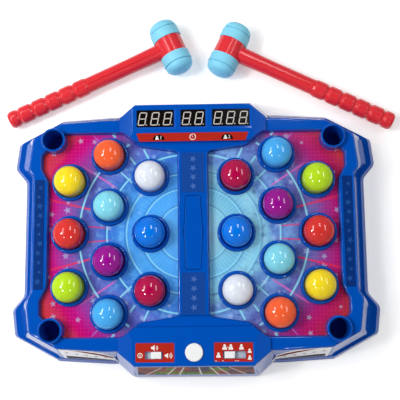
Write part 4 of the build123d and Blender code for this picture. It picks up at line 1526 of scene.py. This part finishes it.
# Place of the camera, and its turns about X, Y and Z in degrees
camera_place = (0.0259, -0.0793, 0.797)
camera_turns = (8.47, 1.43, -0.78)
camera_sensor = 36.0
camera_sight = 30.0


def look_at(place, target):
    """The turn that points a lamp's front at a target, with its length from front to back."""
    away = (Vector(place) - Vector(target)).normalized()
    right = Vector((0, 1, 0)).cross(away).normalized()
    return Matrix((right, away.cross(right), away)).transposed().to_4x4()


class SetStage(bpy.types.Operator):
    """Makes the floor, the sky, the lamps and the camera"""

    bl_idname = "moles.stage"
    bl_label = "Stage"

    def execute(self, context):
        look = context.scene.mole_game.stage
        self.floor(look)
        self.sky(context.scene)
        for lamp in lamp_places:
            self.lamp(*lamp, lamp_distance, mirrored=True)
        for lamp in soft_places:
            self.lamp(*lamp, soft_distance, mirrored=False)
        self.camera(context.scene, look)
        context.scene.view_settings.view_transform = "Standard"
        return {"FINISHED"}

    def floor(self, look):
        """A pale floor that shows its colour in mirrors too and keeps the shadow."""
        material, wires, shader = new_material("white floor", {"Roughness": 0.9, "Specular IOR Level": 0.1})
        rays = wires.add("LightPath").outputs
        seen = wires.math("ADD", rays["Is Camera Ray"], rays["Is Glossy Ray"])
        seen = seen + Signal(wires, rays["Is Transmission Ray"])
        looks = {
            "Base Color": look.floor,
            "Emission Color": wires.shade(look.floor, seen * look.glow),
            "Emission Strength": 1.0,
        }
        wires.feed(shader.inputs, looks)
        bm = bmesh.new()
        bmesh.ops.create_grid(bm, x_segments=1, y_segments=1, size=floor_half_width)
        mesh = bpy.data.meshes.new("floor")
        bm.to_mesh(mesh)
        bm.free()
        mesh.materials.append(material)
        floor = bpy.data.objects.new("floor", mesh)
        bpy.context.scene.collection.objects.link(floor)

    def sky(self, scene):
        """A grey studio that is dark overhead."""
        world = bpy.data.worlds.new("studio")
        world.use_nodes = True
        world.node_tree.nodes.clear()
        scene.world = world
        wires = Wiring(world.node_tree)
        x, y, z = wires.split(wires.add("TexCoord").outputs["Generated"])
        background = wires.add("Background", {"Color": wires.ramp(z, sky_levels), "Strength": 1.0})
        wires.add("OutputWorld", {"Surface": background.outputs[0]})

    def lamp(self, name, across, back, width, length, level, distance, mirrored):
        """A lamp over the board."""
        way = Matrix.Rotation(radians(across), 4, "Y") @ Matrix.Rotation(radians(-back), 4, "X")
        place = way @ Vector((0, 0, distance))
        lamp = bpy.data.lights.new(name, "AREA")
        lamp.shape = "RECTANGLE"
        lamp.size = width
        lamp.size_y = length
        lamp.energy = level * pi * width * length
        thing = bpy.data.objects.new(name, lamp)
        bpy.context.scene.collection.objects.link(thing)
        thing.matrix_world = Matrix.Translation(place) @ look_at(place, lamp_target)
        thing.visible_glossy = mirrored

    def camera(self, scene, look):
        """The camera above the board's front."""
        camera = bpy.data.objects.new("camera", bpy.data.cameras.new("camera"))
        scene.collection.objects.link(camera)
        camera.data.lens = look.lens
        camera.data.sensor_width = camera_sensor
        camera.data.clip_end = camera_sight
        place = Matrix.Translation(camera_place)
        for angle, axis in zip(camera_turns, "XYZ"):
            place = place @ Matrix.Rotation(radians(angle), 4, axis)
        camera.matrix_world = place
        scene.camera = camera


operators = (
    SetStage,
    FinishCase,
    PrintFields,
    FinishHeads,
    FinishInside,
    AddConsoleLabels,
    AddStarLabels,
    AddWallLabels,
    AddDigits,
    FinishControls,
    FinishMallets,
)


class MoleGamePanel(bpy.types.Panel):
    """Lists the making steps of the game in the sidebar"""

    bl_idname = "MOLES_PT_game"
    bl_label = "Mole Pounding Game"
    bl_space_type = "VIEW_3D"
    bl_region_type = "UI"
    bl_category = "Moles"

    def draw(self, context):
        for operator in operators:
            self.layout.operator(operator.bl_idname)


settings = (
    CaseSettings,
    FieldSettings,
    HeadSettings,
    PrintSettings,
    DisplaySettings,
    MalletSettings,
    StageSettings,
    MoleGameSettings,
)
classes = settings + operators + (MoleGamePanel,)


def register():
    """Makes the classes and the settings known."""
    for kind in classes:
        bpy.utils.register_class(kind)
    bpy.types.Scene.mole_game = bpy.props.PointerProperty(type=MoleGameSettings)


def unregister():
    """Takes the classes and the settings away again."""
    del bpy.types.Scene.mole_game
    for kind in reversed(classes):
        bpy.utils.unregister_class(kind)


def main():
    """Makes the whole game."""
    register()
    for operator in operators:
        group, name = operator.bl_idname.split(".")
        getattr(getattr(bpy.ops, group), name)()


if __name__ == "__main__":
    main()
